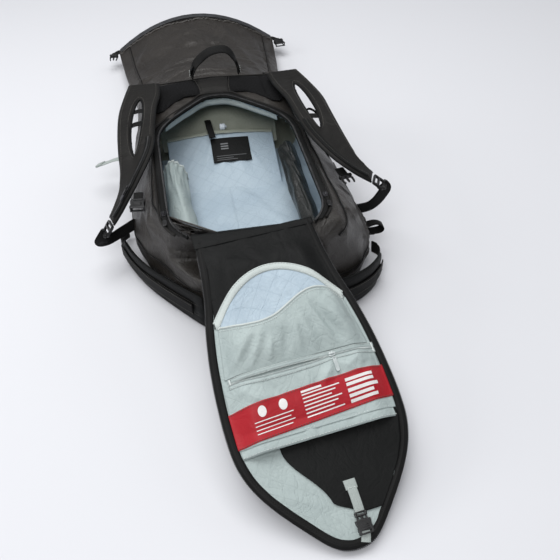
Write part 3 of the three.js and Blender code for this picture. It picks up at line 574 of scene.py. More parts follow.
def settle(piece, body, slot, *replaced):
    """The piece rides on its body and stands for the plain solids it covers. Its slot is not used."""
    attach(piece, body)
    if replaced:
        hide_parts(*replaced)
    return piece


# %% Folds, noise and smoothing
def smooth(grid, turns, wrap=False, hold=0):
    """Evens out a grid, holding its first and last few rows."""
    for _ in range(turns):
        padded = np.pad(grid, ((1, 1), (0, 0), (0, 0)), mode="edge")
        rows = (padded[2:] + padded[:-2]) / 2
        if wrap:
            columns = (np.roll(grid, 1, 1) + np.roll(grid, -1, 1)) / 2
        else:
            padded = np.pad(grid, ((0, 0), (1, 1), (0, 0)), mode="edge")
            columns = (padded[:, 2:] + padded[:, :-2]) / 2
        moved = grid * 0.4 + rows * 0.3 + columns * 0.3
        if hold:
            moved[:hold], moved[-hold:] = grid[:hold], grid[-hold:]
        grid = moved
    return grid


def roughen(points, size, seed):
    """Smooth noise from about -1 to 1 at each point. size is the width of its waves in mm."""
    shift = Vector((seed * 17.3, seed * 5.1, seed * 9.7))
    flat = np.asarray(points, float).reshape(-1, 3) / size
    return np.array([noise.noise(Vector(p) + shift) for p in flat]).reshape(np.shape(points)[:-1]) * 1.6


def fold_lines(flat, folds):
    """The height that folds give to points on a flat pattern. A fold is (start, end, width, height)."""
    height = np.zeros(flat.shape[:-1])
    for start, end, width, rise in folds:
        a, b = np.array(start, float), np.array(end, float)
        run = b - a
        t = ((flat - a) @ run) / (run @ run)
        inside = np.clip(t, 0, 1)
        off = np.linalg.norm(flat - (a + inside[..., None] * run), axis=-1)
        fade = np.sin(np.clip(t, 0.02, 0.98) * math.pi) ** 0.6
        height += rise * np.exp(-((off / width) ** 2)) * fade
    return height


def random_folds(count, area, angle, spread, length, width, height, seed):
    """Folds scattered over area = (x0, x1, y0, y1), most of them near one angle in degrees."""
    draw = random.Random(seed)
    made = []
    for _ in range(count):
        x, y = draw.uniform(area[0], area[1]), draw.uniform(area[2], area[3])
        a = math.radians(angle + draw.uniform(-spread, spread))
        reach = length * draw.uniform(0.5, 1.2) / 2
        step = (math.cos(a) * reach, math.sin(a) * reach)
        rise = height * draw.choice((-1, 1)) * draw.uniform(0.4, 1.0)
        made.append(
            ((x - step[0], y - step[1]), (x + step[0], y + step[1]), width * draw.uniform(0.6, 1.3), rise)
        )
    return made


def steps_between(start, end, count):
    return np.linspace(start, end, count)


def ease(value, start, end):
    """0 before start, 1 after end, and a smooth step between them."""
    t = np.clip((np.asarray(value, float) - start) / (end - start), 0, 1)
    return t * t * (3 - 2 * t)


# %% Straps, tubes, stitches and zip teeth
def curve_through(points, count):
    """A smooth curve through a few points, resampled to equal steps."""
    p = np.array(points, float)
    p = np.vstack([2 * p[0] - p[1], p, 2 * p[-1] - p[-2]])
    made = []
    for i in range(1, len(p) - 2):
        for t in np.linspace(0, 1, 24, endpoint=False):
            a, b, c, d = p[i - 1 : i + 3]
            made.append(
                0.5
                * (2 * b + (c - a) * t + (2 * a - 5 * b + 4 * c - d) * t**2 + (3 * b - a - 3 * c + d) * t**3)
            )
    made = np.array(made + [p[-2]])
    run = distances(made)
    even = np.linspace(0, run[-1], count)
    return np.stack([np.interp(even, run, made[:, k]) for k in range(made.shape[1])], 1)


def unit(vectors):
    return vectors / np.maximum(np.linalg.norm(vectors, axis=-1, keepdims=True), 1e-9)


def sweep_frames(path, up):
    """The direction, the side and the face of a strap at each point of its path."""
    forward = unit(np.gradient(path, axis=0))
    up = np.broadcast_to(np.asarray(up, float), path.shape)
    side = unit(np.cross(forward, up))
    return forward, side, unit(np.cross(side, forward))


def swept_piece(name, path, up, section, finish, scale=None, closed=False):
    """A section swept along a path. section is points (across, height), in order around."""
    forward, side, face = sweep_frames(path, up)
    section = np.asarray(section, float)
    scale = np.ones((len(path), 2)) if scale is None else np.asarray(scale, float)
    rings = (
        path[:, None, :]
        + side[:, None, :] * (section[None, :, 0] * scale[:, :1])[..., None]
        + face[:, None, :] * (section[None, :, 1] * scale[:, 1:2])[..., None]
    )
    count, around = rings.shape[:2]
    faces = []
    for i in range(count if closed else count - 1):
        j = (i + 1) % count
        for k in range(around):
            n = (k + 1) % around
            faces.append((i * around + k, i * around + n, j * around + n, j * around + k))
    if not closed:
        faces.append(tuple(range(around))[::-1])
        faces.append(tuple((count - 1) * around + k for k in range(around)))
    over = distances(np.vstack([section, section[:1]]))[:-1]
    along = distances(path)
    cloth = np.stack(np.broadcast_arrays(over[None, :], along[:, None]), -1).reshape(-1, 2)
    return new_piece(name, rings.reshape(-1, 3), faces, finish, cloth)


def flat_section(half, thick, crown=0.0, count=7):
    """A strap's section: flat, with round edges and an optional crown."""
    top = [(half * t, thick / 2 + crown * (1 - t * t)) for t in np.linspace(1, -1, count) * 0.92]
    low = [(half * t, -thick / 2) for t in np.linspace(-1, 1, count) * 0.92]
    return top + [(-half, 0)] + low + [(half, 0)]


def round_section(radius, sides=10, flat=1.0):
    return [
        (math.cos(a) * radius, math.sin(a) * radius * flat)
        for a in np.linspace(0, 2 * math.pi, sides, endpoint=False)
    ]


def strap(name, points, up, half, thick, finish="webbing", count=40, crown=0.3):
    path = curve_through(points, count)
    if np.ndim(up) == 2:
        up = np.stack(
            [
                np.interp(np.linspace(0, len(up) - 1, count), range(len(up)), np.array(up, float)[:, k])
                for k in range(3)
            ],
            1
        )
    return swept_piece(name, path, up, flat_section(half, thick, crown), finish)


def repeated(name, shape, faces, places, finish):
    """One mesh of many small copies. places are (point, direction, side, face) of each copy."""
    shape = np.asarray(shape, float)
    points, all_faces = [], []
    for i, (at, forward, side, face) in enumerate(places):
        points.append(at + shape[:, :1] * side + shape[:, 1:2] * forward + shape[:, 2:3] * face)
        all_faces += [tuple(n + i * len(shape) for n in f) for f in faces]
    points = np.vstack(points)
    return new_piece(name, points, all_faces, finish, points[:, :2])


def spindle(half_length, radius, height, sides=5):
    """A small thread or tooth that lies along its direction: two tips and two rings."""
    points = [(0, -half_length, 0)]
    for y in (-half_length * 0.55, half_length * 0.55):
        points += [
            (math.cos(a) * radius, y, height + math.sin(a) * radius)
            for a in np.linspace(0, 2 * math.pi, sides, endpoint=False)
        ]
    points.append((0, half_length, 0))
    faces = []
    for k in range(sides):
        n = (k + 1) % sides
        faces += [
            (0, 1 + n, 1 + k), (1 + k, 1 + n, 1 + sides + n, 1 + sides + k),
            (1 + sides + k, 1 + sides + n, 1 + 2 * sides)
        ]
    return points, faces


def places_along(path, up, pitch):
    run = distances(path)
    spots = np.arange(pitch / 2, run[-1], pitch)
    forward, side, face = sweep_frames(path, up)
    pick = lambda table: np.stack([np.interp(spots, run, table[:, k]) for k in range(3)], 1)
    return list(zip(pick(path), unit(pick(forward)), unit(pick(side)), unit(pick(face))))


def stitch_row(name, path, up, finish="black_thread", length=3.0, gap=1.4):
    shape, faces = spindle(length / 2, 0.42, 0.2)
    return repeated(name, shape, faces, places_along(path, up, length + gap), finish)


def zip_teeth(name, path, up, finish="coil_black", pitch=2.6, reach=2.4, radius=0.95):
    """A nylon coil's turns lie across the zip's line."""
    shape, faces = spindle(reach, radius, 0.3, 6)
    across = [(y, x, z) for x, y, z in shape]
    return repeated(name, across, [f[::-1] for f in faces], places_along(path, up, pitch), finish)


def join_pieces(name, pieces):
    """Makes one piece out of several, keeping each one's finish."""
    merged = bmesh.new()
    materials = []
    for piece in pieces:
        for material in piece.data.materials:
            if material.name not in [m.name for m in materials]:
                materials.append(material)
    names = [m.name for m in materials]
    for piece in pieces:
        slots = [names.index(m.name) for m in piece.data.materials]
        piece.data.transform(piece.matrix_world)
        first = len(merged.faces)
        merged.from_mesh(piece.data)
        merged.faces.ensure_lookup_table()
        for face in merged.faces[first:]:
            face.material_index = slots[face.material_index]
    mesh = bpy.data.meshes.new(name)
    merged.to_mesh(mesh)
    merged.free()
    for material in materials:
        mesh.materials.append(material)
    for piece in pieces:
        bpy.data.objects.remove(piece)
    whole = bpy.data.objects.new(name, mesh)
    scene.collection.objects.link(whole)
    return whole


# %% [markdown]
# A buckle is an outline with slots, as thick as a moulding, with its edges rounded. A filled 2D curve with a
# bevel gives exactly that, holes and all. Padded cloth gets its form from air: cloth simulation blows a
# closed form up between its seams, which stay sewn, and the cap keeps it inside the space that the solid
# model gives it.


# %% Moulded plates and blown-up padding
def moulded(name, loops, low, high, bevel, finish, where=None):
    """A plate from low to high with rounded edges. The first loop is its outline and the rest are its
    holes."""
    curve = bpy.data.curves.new(name, "CURVE")
    curve.dimensions, curve.fill_mode = "2D", "BOTH"
    curve.extrude, curve.bevel_depth, curve.bevel_resolution = (high - low) / 2 - bevel, bevel, 2
    curve.offset = -bevel
    for loop in loops:
        spline = curve.splines.new("POLY")
        spline.points.add(len(loop) - 1)
        for point, (x, y) in zip(spline.points, loop):
            point.co = (x, y, 0, 1)
        spline.use_cyclic_u = True
    holder = bpy.data.objects.new(name, curve)
    scene.collection.objects.link(holder)
    bpy.context.view_layer.update()
    mesh = bpy.data.meshes.new_from_object(holder.evaluated_get(bpy.context.evaluated_depsgraph_get()))
    bpy.data.objects.remove(holder)
    mesh.transform(Matrix.Translation((0, 0, (low + high) / 2)))
    mesh.transform((where or Matrix.Identity(4)) @ Matrix.Scale(MM, 4))
    mesh.materials.clear()
    mesh.materials.append(finishes[finish])
    welded = bmesh.new()
    welded.from_mesh(mesh)
    bmesh.ops.remove_doubles(welded, verts=welded.verts, dist=1e-6)
    bmesh.ops.recalc_face_normals(welded, faces=welded.faces)
    welded.to_mesh(mesh)
    welded.free()
    mesh.shade_flat()
    piece = bpy.data.objects.new(name, mesh)
    scene.collection.objects.link(piece)
    return piece


def rounded_box(x0, x1, y0, y1, radius, steps=5):
    """The corner points of a rectangle with round corners."""
    made = []
    for cx, cy, start in ((x1, y1, 0), (x0, y1, 90), (x0, y0, 180), (x1, y0, 270)):
        sx, sy = (1 if cx == x1 else -1), (1 if cy == y1 else -1)
        for a in np.radians(np.linspace(start, start + 90, steps)):
            made.append((cx - sx * radius + math.cos(a) * radius, cy - sy * radius + math.sin(a) * radius))
    return made


def blow_up(piece, sewn, pressure=3.0, cap=5.0, steps=16):
    """Cloth simulation with air inside. sewn lists the points that stay where they are."""
    held = piece.vertex_groups.new(name="sewn")
    held.add([int(n) for n in sewn], 1.0, "REPLACE")
    before = np.array([v.co for v in piece.data.vertices])
    cloth = piece.modifiers.new("air", "CLOTH")
    cloth.settings.quality = 5
    cloth.settings.mass = 0.15
    cloth.settings.use_pressure = True
    cloth.settings.uniform_pressure_force = pressure
    cloth.settings.vertex_group_mass = "sewn"
    cloth.settings.effector_weights.gravity = 0
    cloth.collision_settings.use_collision = False
    cloth.point_cache.frame_end = steps
    for step in range(1, steps + 1):
        scene.frame_set(step)
    blown = piece.evaluated_get(bpy.context.evaluated_depsgraph_get())
    after = np.array([v.co for v in blown.data.vertices])
    move = after - before
    size = np.linalg.norm(move, axis=1, keepdims=True)
    move *= np.minimum(1, cap * MM / np.maximum(size, 1e-9))
    piece.modifiers.clear()
    piece.vertex_groups.clear()
    piece.data.vertices.foreach_set("co", (before + move).astype(np.float32).ravel())
    piece.data.update()
    scene.frame_set(1)
    print(piece.name, "swelled by up to", round(float(size.max()) / MM, 1), "mm before the cap")
    return piece


# %% [markdown]
# ## Where things are
# The frame's joints tell where the panel's hinge line is and how the back plane slopes. The opening and the
# panel share one outline, given as half widths against the distance from the hinge.

# %% The two planes that most pieces are laid out on
HINGE = np.array(joints["back_panel_fold"]["pos_m"]) / MM
RISE = np.array(joints["main_slider_left_run"]["axis"])
ACROSS = np.array([1.0, 0.0, 0.0])
OUT = unit(np.cross(ACROSS, RISE))
YAW, TILT = math.radians(3.75), math.radians(21.6)
panel_turn = np.array(
    Matrix.Rotation(YAW, 3, "Z") @ Matrix.Rotation(TILT, 3, "X") @ Matrix.Rotation(YAW, 3, "Z")
)


def on_back(x, d, z):
    """A point on the back plane: x across, d up from the hinge line and z out of the back."""
    x, d, z = np.broadcast_arrays(*(np.asarray(value, float) for value in (x, d, z)))
    return HINGE + x[..., None] * ACROSS + d[..., None] * RISE + z[..., None] * OUT


def on_panel(x, d, z):
    """A point on the folded-out panel: x across, d away from the hinge and z off its inner face."""
    x, d, z = np.broadcast_arrays(*(np.asarray(value, float) for value in (x, d, z)))
    return HINGE + np.stack([x, -d, z], -1) @ panel_turn.T


PANEL_HALF = np.array([
    (0, 93), (60, 97), (110, 104), (150, 114), (200, 122), (245, 126), (300, 128), (345, 126),
    (375, 117), (400, 103), (425, 84), (450, 62), (470, 44), (485, 30), (494, 20),
], float)
OPENING_LOW = np.array([(0, 98), (14, 111), (32, 122), (60, 128.5), (330, 131)], float)
PANEL_LENGTH = PANEL_HALF[-1, 0]


def panel_half(d):
    return np.interp(d, PANEL_HALF[:, 0], PANEL_HALF[:, 1])


def opening_half(d):
    low = np.interp(d, OPENING_LOW[:, 0], OPENING_LOW[:, 1])
    return np.where(np.asarray(d) < 330, low, panel_half(d) + 4)


def outline(half, start, end, grow, count=220):
    """Points along an outline, from its start on the right, round its far end, to its start on the left."""
    d = np.linspace(start, end, 260)
    right = np.stack([half(d) + grow, d], 1)
    right[:, 1] += grow * (d > end - 6)
    whole = np.vstack([right, right[::-1] * [-1, 1]])
    run = distances(whole)
    even = np.linspace(0, run[-1], count)
    path = np.stack([np.interp(even, run, whole[:, k]) for k in (0, 1)], 1)
    ends = path[[0, -1]].copy()
    spacing = run[-1] / (count - 1)
    for _ in range(int(420 / spacing**2)):
        path[1:-1] = (path[:-2] + path[2:] + 2 * path[1:-1]) / 4
    path[[0, -1]] = ends
    return path


def noise_at(x, d, size, seed):
    x, d = np.broadcast_arrays(np.asarray(x, float), np.asarray(d, float))
    return roughen(np.stack([x, d, x * 0], -1), size, seed)


print("hinge at", HINGE, "mm, panel length", PANEL_LENGTH)

# %% [markdown]
# ## The bag
# The shell is one bag of coated cloth, cut from five panels. It could be built from plates, but a bag has no
# flat side: it sags between its seams. So a grid is drawn over the frame's solid like a cover over a mould,
# evened out until its corners are round, and then pushed into folds. The hole for the back panel is cut out
# of it last.

# %% A cover drawn over the frame
CORE_HEIGHT = 84
BAG_ROWS, BAG_COLUMNS = 156, 250
BODY_LOW, BODY_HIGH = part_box("front_panel")[0][1] / MM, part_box("yoke_panel")[1][1] / MM


def tree_of(*names):
    points, faces = [], []
    for name in names:
        mesh = frame["nodes"][name].data
        faces += [[n + len(points) for n in polygon.vertices] for polygon in mesh.polygons]
        points += [v.co / MM for v in mesh.vertices]
    return BVHTree.FromPolygons(points, faces)


def draw_over(tree, y_places, columns, core):
    """The outermost points of the solids, in rings round a core line at each Y, with the opening lidded
    over."""
    turns = -math.pi / 2 - np.linspace(0, 2 * math.pi, columns, endpoint=False)
    grid = np.zeros((len(y_places), columns, 3))
    for i, y in enumerate(y_places):
        centre = Vector((0, y, core))
        for k, turn in enumerate(turns):
            way = Vector((200 * math.cos(turn), 0, 95 * math.sin(turn))).normalized()
            hit = tree.ray_cast(centre + way * 700, -way)[0]
            point = hit if hit is not None else centre + way * 150
            lid = HINGE[2] + (y - HINGE[1]) * RISE[2] / RISE[1]
            over = centre + way * ((lid - core) / max(way.z, 0.1))
            if 0 < y - HINGE[1] < 500 and way.z > 0.1 and abs(over.x) < opening_half(y - HINGE[1]) + 4:
                point = over
            grid[i, k] = point
    return grid


shell_tree = tree_of("front_panel", "side_panel_left", "side_panel_right", "bottom_panel", "yoke_panel")
bag_y = np.concatenate(
    [
        steps_between(BODY_LOW + 0.4, BODY_LOW + 14, 5),
        steps_between(BODY_LOW + 18, BODY_HIGH - 1, BAG_ROWS - 5)
    ]
)
bag_form = draw_over(shell_tree, bag_y, BAG_COLUMNS, CORE_HEIGHT)
bag_form = smooth(bag_form, 8, wrap=True, hold=1)
print("cover of", bag_form.shape[0], "by", bag_form.shape[1], "points")


# %% Folds of the bag
def on_back_plan(grid):
    """Each point's x and its distance from the hinge line, as seen square to the back."""
    return np.stack([grid[..., 0], (grid - HINGE) @ RISE], -1)


def around_plan(grid):
    """Each point's place on the bag's skin laid flat: the way round from the middle of the front, and the
    way up."""
    over = np.zeros(grid.shape[:2])
    over[:, 1:] = np.cumsum(np.linalg.norm(np.diff(grid, axis=1), axis=2), axis=1)
    return np.stack([over, grid[..., 1] - HINGE[1]], -1)


skin = around_plan(bag_form)
near_back = ease(bag_form[..., 2], 158, 178)
low_edge = 1 - ease(bag_form[..., 2], 14, 34)
loose = (1 - near_back) * (1 - low_edge)
side_folds = (
    random_folds(26, (140, 470, 20, 560), 66, 24, 120, 9, 3.2, 11)
    + random_folds(26, (700, 1060, 20, 560), 114, 24, 120, 9, 3.2, 12)
)
corner_folds = (
    random_folds(12, (220, 460, 0, 160), 40, 30, 100, 7, 4.0, 13)
    + random_folds(14, (700, 960, 0, 170), 140, 30, 100, 8, 4.5, 14)
)
lift = fold_lines(skin, side_folds + corner_folds) * loose
lift += roughen(bag_form, 70, 3) * 3.0 * loose + roughen(bag_form, 26, 4) * 1.1 * loose
lift += roughen(bag_form, 40, 5) * 0.7 * near_back
bag_skin = push(bag_form, np.clip(lift, -6, 5.5), wrap=True)
bag_skin[..., 2] = np.maximum(bag_skin[..., 2], 10.5)

# %% [markdown]
# The opening is cut by leaving out the faces inside its outline and pulling the cut edge onto it. The cloth
# has a seam allowance there, and the same cut serves the lining.


# %% Cut the opening
def cut_opening(grid, grow, sink):
    """Which faces stay, and the grid with the cut edge pulled onto the outline, sink mm under the back
    plane."""
    edge = outline(opening_half, 0, 497, grow, 900)
    foot = np.stack([steps_between(edge[-1, 0], edge[0, 0], 160), np.zeros(160)], 1)
    edge = np.vstack([edge, foot])
    flat = on_back_plan(grid)
    half = opening_half(flat[..., 1]) + grow
    upper = (grid[..., 2] > 120) & (np.abs(flat[..., 0]) < 175) & (flat[..., 1] > -20) & (flat[..., 1] < 520)
    inside = upper & (np.abs(flat[..., 0]) < half) & (flat[..., 1] > 0) & (flat[..., 1] < 497 + grow)
    wrapped = np.roll(inside, -1, 1)
    corners = [inside[:-1], wrapped[:-1], wrapped[1:], inside[1:]]
    keep = ~(corners[0] & corners[1] & corners[2] & corners[3])
    touched = np.zeros(inside.shape, bool)
    touched[:-1] |= keep
    touched[1:] |= keep
    touched[:-1] |= np.roll(keep, 1, 1)
    touched[1:] |= np.roll(keep, 1, 1)
    for i, k in np.argwhere(inside & touched):
        off = edge - flat[i, k]
        x, d = edge[np.argmin((off**2).sum(1))]
        grid[i, k] = on_back(x, d, -sink)
    return keep


keep_shell = cut_opening(bag_skin, 0.5, 0.3)
bag = cloth_piece("pack_bag", bag_skin, "shell_cloth", wrap=True, thick=2.2, keep=keep_shell)


def end_cap(name, ring, centre, finish, flip):
    """A gathered cap that closes the bag at its bottom end or at its top end."""
    rows = [
        centre + (ring - centre) * s + np.array([0, b, 0]) for s,
        b in ((1, 0), (0.97, -2), (0.9, -3), (0.7, -3.5), (0.45, -4), (0.2, -4), (0.02, -4))
    ]
    grid = np.array(rows)
    grid[1:, :, 1] += roughen(grid[1:], 45, 8) * 1.6
    return cloth_piece(name, grid[::-1] if flip else grid, finish, wrap=True)


low_ring = bag_skin[0]
bottom_cap = end_cap("pack_bottom", low_ring, low_ring.mean(0), "shell_cloth", True)
bag = join_pieces("pack_bag", [bag, bottom_cap])
settle(
    bag, "pack", "shell_cloth", "front_panel", "side_panel_left", "side_panel_right", "bottom_panel",
    "yoke_panel"
)
print("bag faces:", len(bag.data.polygons))


# %% [markdown]
# ## Seams of the bag
# Four seams shape the bag: one down each side of the back, and one where each side turns under to the front.
# A real seam is a dip with a row of thread beside it, and the seams at the back have a thin black piping that
# stands proud.

# %% Lines on the bag's skin
def skin_line(column_of, first, last, lift_by, count=160):
    """A path on the bag's skin. column_of gives the column, as a share of the way round, for a share of the
    length."""
    normal = normals_of(bag_skin, True)
    path, faces = [], []
    for t in np.linspace(0, 1, count):
        row = first + (last - first) * t
        column = column_of(t) * BAG_COLUMNS
        i, k = int(row), int(column)
        down, across = row - i, column - k
        here = lambda table: (
            table[i, k % BAG_COLUMNS] * (1 - down) * (1 - across) + table[
                i, (k + 1) % BAG_COLUMNS
            ] * (1 - down) * across
            + table[min(i + 1, BAG_ROWS - 1), k % BAG_COLUMNS] * down * (1 - across)
            + table[min(i + 1, BAG_ROWS - 1), (k + 1) % BAG_COLUMNS] * down * across
        )
        face = here(normal)
        path.append(here(bag_skin) + face * lift_by)
        faces.append(face)
    path = np.array(path)
    for _ in range(3):
        path[1:-1] = (path[:-2] + path[2:] + 2 * path[1:-1]) / 4
    return path, np.array(faces)


seam_parts = []
for share, name in (
    (0.385, "left_back"), (0.615, "right_back"), (0.215, "left_front"), (0.785, "right_front")
):
    back = "back" in name
    wander = 0.006 if name == "left_back" else 0.003
    path, up = skin_line(lambda t: share + wander * math.sin(t * 4), 3, BAG_ROWS - 2, 0.5)
    seam_parts.append(swept_piece("seam", path, up, round_section(1.5 if back else 1.0, 8), "black_cloth"))
    for beside in (-4.5, 4.5):
        forward, side, face = sweep_frames(path, up)
        seam_parts.append(stitch_row("thread", path + side * beside, up, "black_thread"))
seams = join_pieces("pack_seams", seam_parts)
settle(seams, "pack", "shell_cloth")
print("seam faces:", len(seams.data.polygons))

# %% [markdown]
# ## Front pocket
# The pack lies on its front pocket. It is a shallow padded pocket with a rounded outline, so a crowned pillow
# with a pinched edge is right. Its face is flat where it rests on the floor.


# %% Front pocket
def pillow(name, plan_half, length, low, high, finish, rows=60, columns=60, power=5):
    """A crowned pad lying along Y, flat below, with its edge pinched. plan_half gives its half width along
    it."""
    t = np.linspace(-1, 1, rows)
    s = np.linspace(-1, 1, columns)
    half = plan_half(t)
    x = s[None, :] * half[:, None]
    y = np.broadcast_to((t * length / 2)[:, None], x.shape)
    rim = (1 - np.abs(s[None, :]) ** power) * (1 - np.abs(t[:, None]) ** (power * 2))
    rim = np.clip(rim, 0, 1) ** 0.5
    middle = low + (high - low) * 0.5
    top = np.stack([x, y, middle + (high - middle) * rim], -1)
    under = np.stack([x, y, middle - (middle - low) * rim], -1)
    upper = cloth_piece(name, top, finish)
    lower = cloth_piece(name + "_low", under[:, ::-1], finish)
    return join_pieces(name, [upper, lower])


pocket_low, pocket_high = (np.array(corner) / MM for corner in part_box("front_pocket"))
corner_round = 60
pocket_half_width = (pocket_high[0] - pocket_low[0]) / 2
pocket_length = pocket_high[1] - pocket_low[1]


def pocket_plan(t):
    over = np.clip((np.abs(t) * pocket_length / 2 - (pocket_length / 2 - corner_round)) / corner_round, 0, 1)
    return pocket_half_width - corner_round + corner_round * np.sqrt(np.maximum(1 - over**2, 0.0004))


front_pocket = pillow("front_pocket_cloth", pocket_plan, pocket_length, 0, pocket_high[2] + 1, "shell_cloth")
settle(front_pocket, "pack", "shell_cloth", "front_pocket")
print("front pocket", round(pocket_length), "mm long")

# %% [markdown]
# ## Lining
# The lining is a second, lighter bag inside the shell. It is coated diamond ripstop in a pale blue grey, so
# that small things can be found in it. It hangs slack, with soft folds that run down from the opening and
# across the floor.

# %% Lining
LINING_IN = 8.5
inner_form = smooth(push(bag_form, -LINING_IN, wrap=True), 14, wrap=True, hold=1)
inner_form[..., 2] = np.maximum(inner_form[..., 2], 19.5)
wall_folds = random_folds(34, (60, 1150, 40, 560), 90, 26, 150, 12, 3.0, 21)
floor_folds = (
    random_folds(16, (0, 170, 60, 460), 20, 60, 150, 22, 2.6, 22)
    + random_folds(16, (1010, 1190, 60, 460), 20, 60, 150, 22, 2.6, 23)
)
slack = (
    fold_lines(around_plan(inner_form), wall_folds + floor_folds) + roughen(inner_form, 90, 6) * 2.6
    + roughen(inner_form, 30, 7) * 0.7
)
slack = slack * (1 - ease(inner_form[..., 2], 150, 172))
lining_skin = push(inner_form, -np.clip(slack, -2.0, 7.0), wrap=True)
lining_skin[..., 2] = np.maximum(lining_skin[..., 2], 18.6)
low_part = 1 - ease(lining_skin[..., 1], BODY_LOW + 12, BODY_LOW + 70)
lining_skin[..., 0] *= 1 - 0.1 * low_part
lining_skin[..., 1] += 7 * low_part
keep_lining = cut_opening(lining_skin, 0.8, 4.4)
lining_faces = lining_skin[:, ::-1]
lining = cloth_piece(
    "pack_lining", lining_faces, "lining_cloth", wrap=True, keep=np.roll(keep_lining[:, ::-1], -1, 1)
)
lining.data.materials.append(finishes["olive_cloth"])
for face in lining.data.polygons:
    if face.center.y > 0.19:
        face.material_index = 1
yoke_edge = outline(opening_half, 400, 497, 1.0, 240)
strip_rows = []
for out, down in ((0.2, -3.4), (3.5, -6), (5.5, -12), (7, -19), (8, -24)):
    strip_edge = yoke_edge * [1 + out / 130, 1] + [0, out * 0.9]
    strip_rows.append(
        on_back(
            strip_edge[:, 0], strip_edge[:, 1],
            down + noise_at(strip_edge[:, 0], strip_edge[:, 1], 30, 55) * 0.8
        )
    )
yoke_strip = cloth_piece("yoke_strip", np.stack(strip_rows)[:, ::-1], "pale_tape", thick=0.8)
settle(yoke_strip, "pack", "lining_cloth")
low_end = lining_skin[0]
lining_end = end_cap("lining_end", low_end, low_end.mean(0) + np.array([0, 6, 0]), "lining_cloth", False)
lining = join_pieces("pack_lining", [lining, lining_end])
settle(lining, "pack", "lining_cloth", "lining")
print("lining faces:", len(lining.data.polygons))

# %% [markdown]
# ## Main zip
# A coil zip runs round the opening from one end of the lip to the other. It is sewn in as a woven tape with
# the coil along its inner edge, and a rolled binding covers the raw edges of shell and lining below it.


# %% Main zip of the body
def band_on_back(name, inner, outer, low, high, finish, start=6, count=400):
    """A flat band round the opening, between two distances from its outline."""
    rows = []
    for grow, z in (
        (inner, low), (inner + 1, high), ((inner + outer) / 2, high + 0.3), (outer - 1, high), (outer, low)
    ):
        path = outline(opening_half, start, 497, grow, count)
        rows.append(on_back(path[:, 0], path[:, 1], z))
    return cloth_piece(name, np.stack(rows, 1)[:, ::-1], finish)


tape = band_on_back("zip_tape", 1.2, 11.5, 0.2, 1.7, "webbing")
edge_path = outline(opening_half, 4, 497, 0.4, 420)
coil_line = on_back(edge_path[:, 0], edge_path[:, 1], 1.6)
coil = zip_teeth("zip_coil", coil_line, OUT)
rolled = swept_piece(
    "rolled_edge", on_back(edge_path[:, 0], edge_path[:, 1], -2.6), OUT, round_section(2.6, 8, 1.25),
    "black_cloth"
)
seam_path = outline(opening_half, 8, 497, 9.3, 420)
tape_stitches = stitch_row("tape_stitches", on_back(seam_path[:, 0], seam_path[:, 1], 2.0), OUT)
piping_path = outline(opening_half, 10, 497, 14.5, 420)
piping = swept_piece(
    "piping", on_back(piping_path[:, 0], piping_path[:, 1], 0.9), OUT, round_section(2.2, 8), "strap_cloth"
)
main_zip = join_pieces("main_zip", [tape, coil, rolled, tape_stitches, piping])
settle(main_zip, "pack", "webbing", "main_zip_tape")
print("main zip:", round(float(distances(coil_line)[-1])), "mm of coil")

# %% [markdown]
# ## Inside the main compartment
# A shovel sleeve with a gathered mouth is sewn to the left wall, and a tube of dark coated cloth for the
# probe to the right one. A divider with a drawn hem rises from the floor, with a label, a hanging loop and a
# cord lock.


# %% Tool sleeve and probe sleeve
def lobed(stations, columns, seed, folds, wrinkle, closed_low=True):
    """A sleeve through sections. A station is (d, centre x, foot z, top z, half width)."""
    count = 90
    places = np.array(stations, float)
    t = np.linspace(0, 1, count)
    d, x, foot, top, half = (np.interp(t, np.linspace(0, 1, len(places)), places[:, k]) for k in range(5))
    turns = np.linspace(0, 2 * math.pi, columns, endpoint=False)
    height = (top - foot) / 2
    grid = np.stack([
        x[:, None] + np.cos(turns)[None] * half[:, None] * (1 - 0.35 * np.maximum(np.sin(turns), 0)[None]),
        HINGE[1] + np.broadcast_to(d[:, None], (count, columns)),
        (foot + height)[:, None] + np.sin(turns)[None] * height[:, None],
    ], -1)
    flat = np.stack(
        [np.broadcast_to(turns[None] * 30, (count, columns)), np.broadcast_to(d[:, None], (count, columns))],
        -1
    )
    grid = push(grid, fold_lines(flat, folds) + roughen(grid, 32, seed) * wrinkle, wrap=True)
    if closed_low:
        middle = grid[0].mean(0)
        for i, share in enumerate((0.05, 0.6, 0.9)):
            grid[i] = middle + (grid[i] - middle) * share
    return grid


gathers = [((k, 250), (k + 2, 400), 3.0, -2.6) for k in range(4, 190, 13)]
sleeve_folds = random_folds(14, (0, 188, 90, 330), 84, 18, 140, 9, 4.5, 31)
sleeve_grid = lobed(
    [(78, -84, 22, 60, 25), (150, -100, 22, 98, 27), (255, -110, 22, 118, 27), (345, -109, 24, 108, 24)], 72,
    9, gathers + sleeve_folds, 1.6
)
sleeve = cloth_piece("shovel_sleeve", sleeve_grid[:, ::-1], "panel_cloth", wrap=True, thick=0.8)
hem_ring = sleeve_grid[-1] + np.array([0, 0.5, 0])
hem_ring[:, 2] += np.sin(np.linspace(0, 26 * math.pi, len(hem_ring))) * 1.1
hem = swept_piece("sleeve_hem", hem_ring, (0, 1, 0), round_section(2.6, 8), "pale_tape", closed=True)
sleeve = join_pieces("shovel_sleeve", [sleeve, hem])
settle(sleeve, "pack", "lining_cloth", "tool_sleeve")

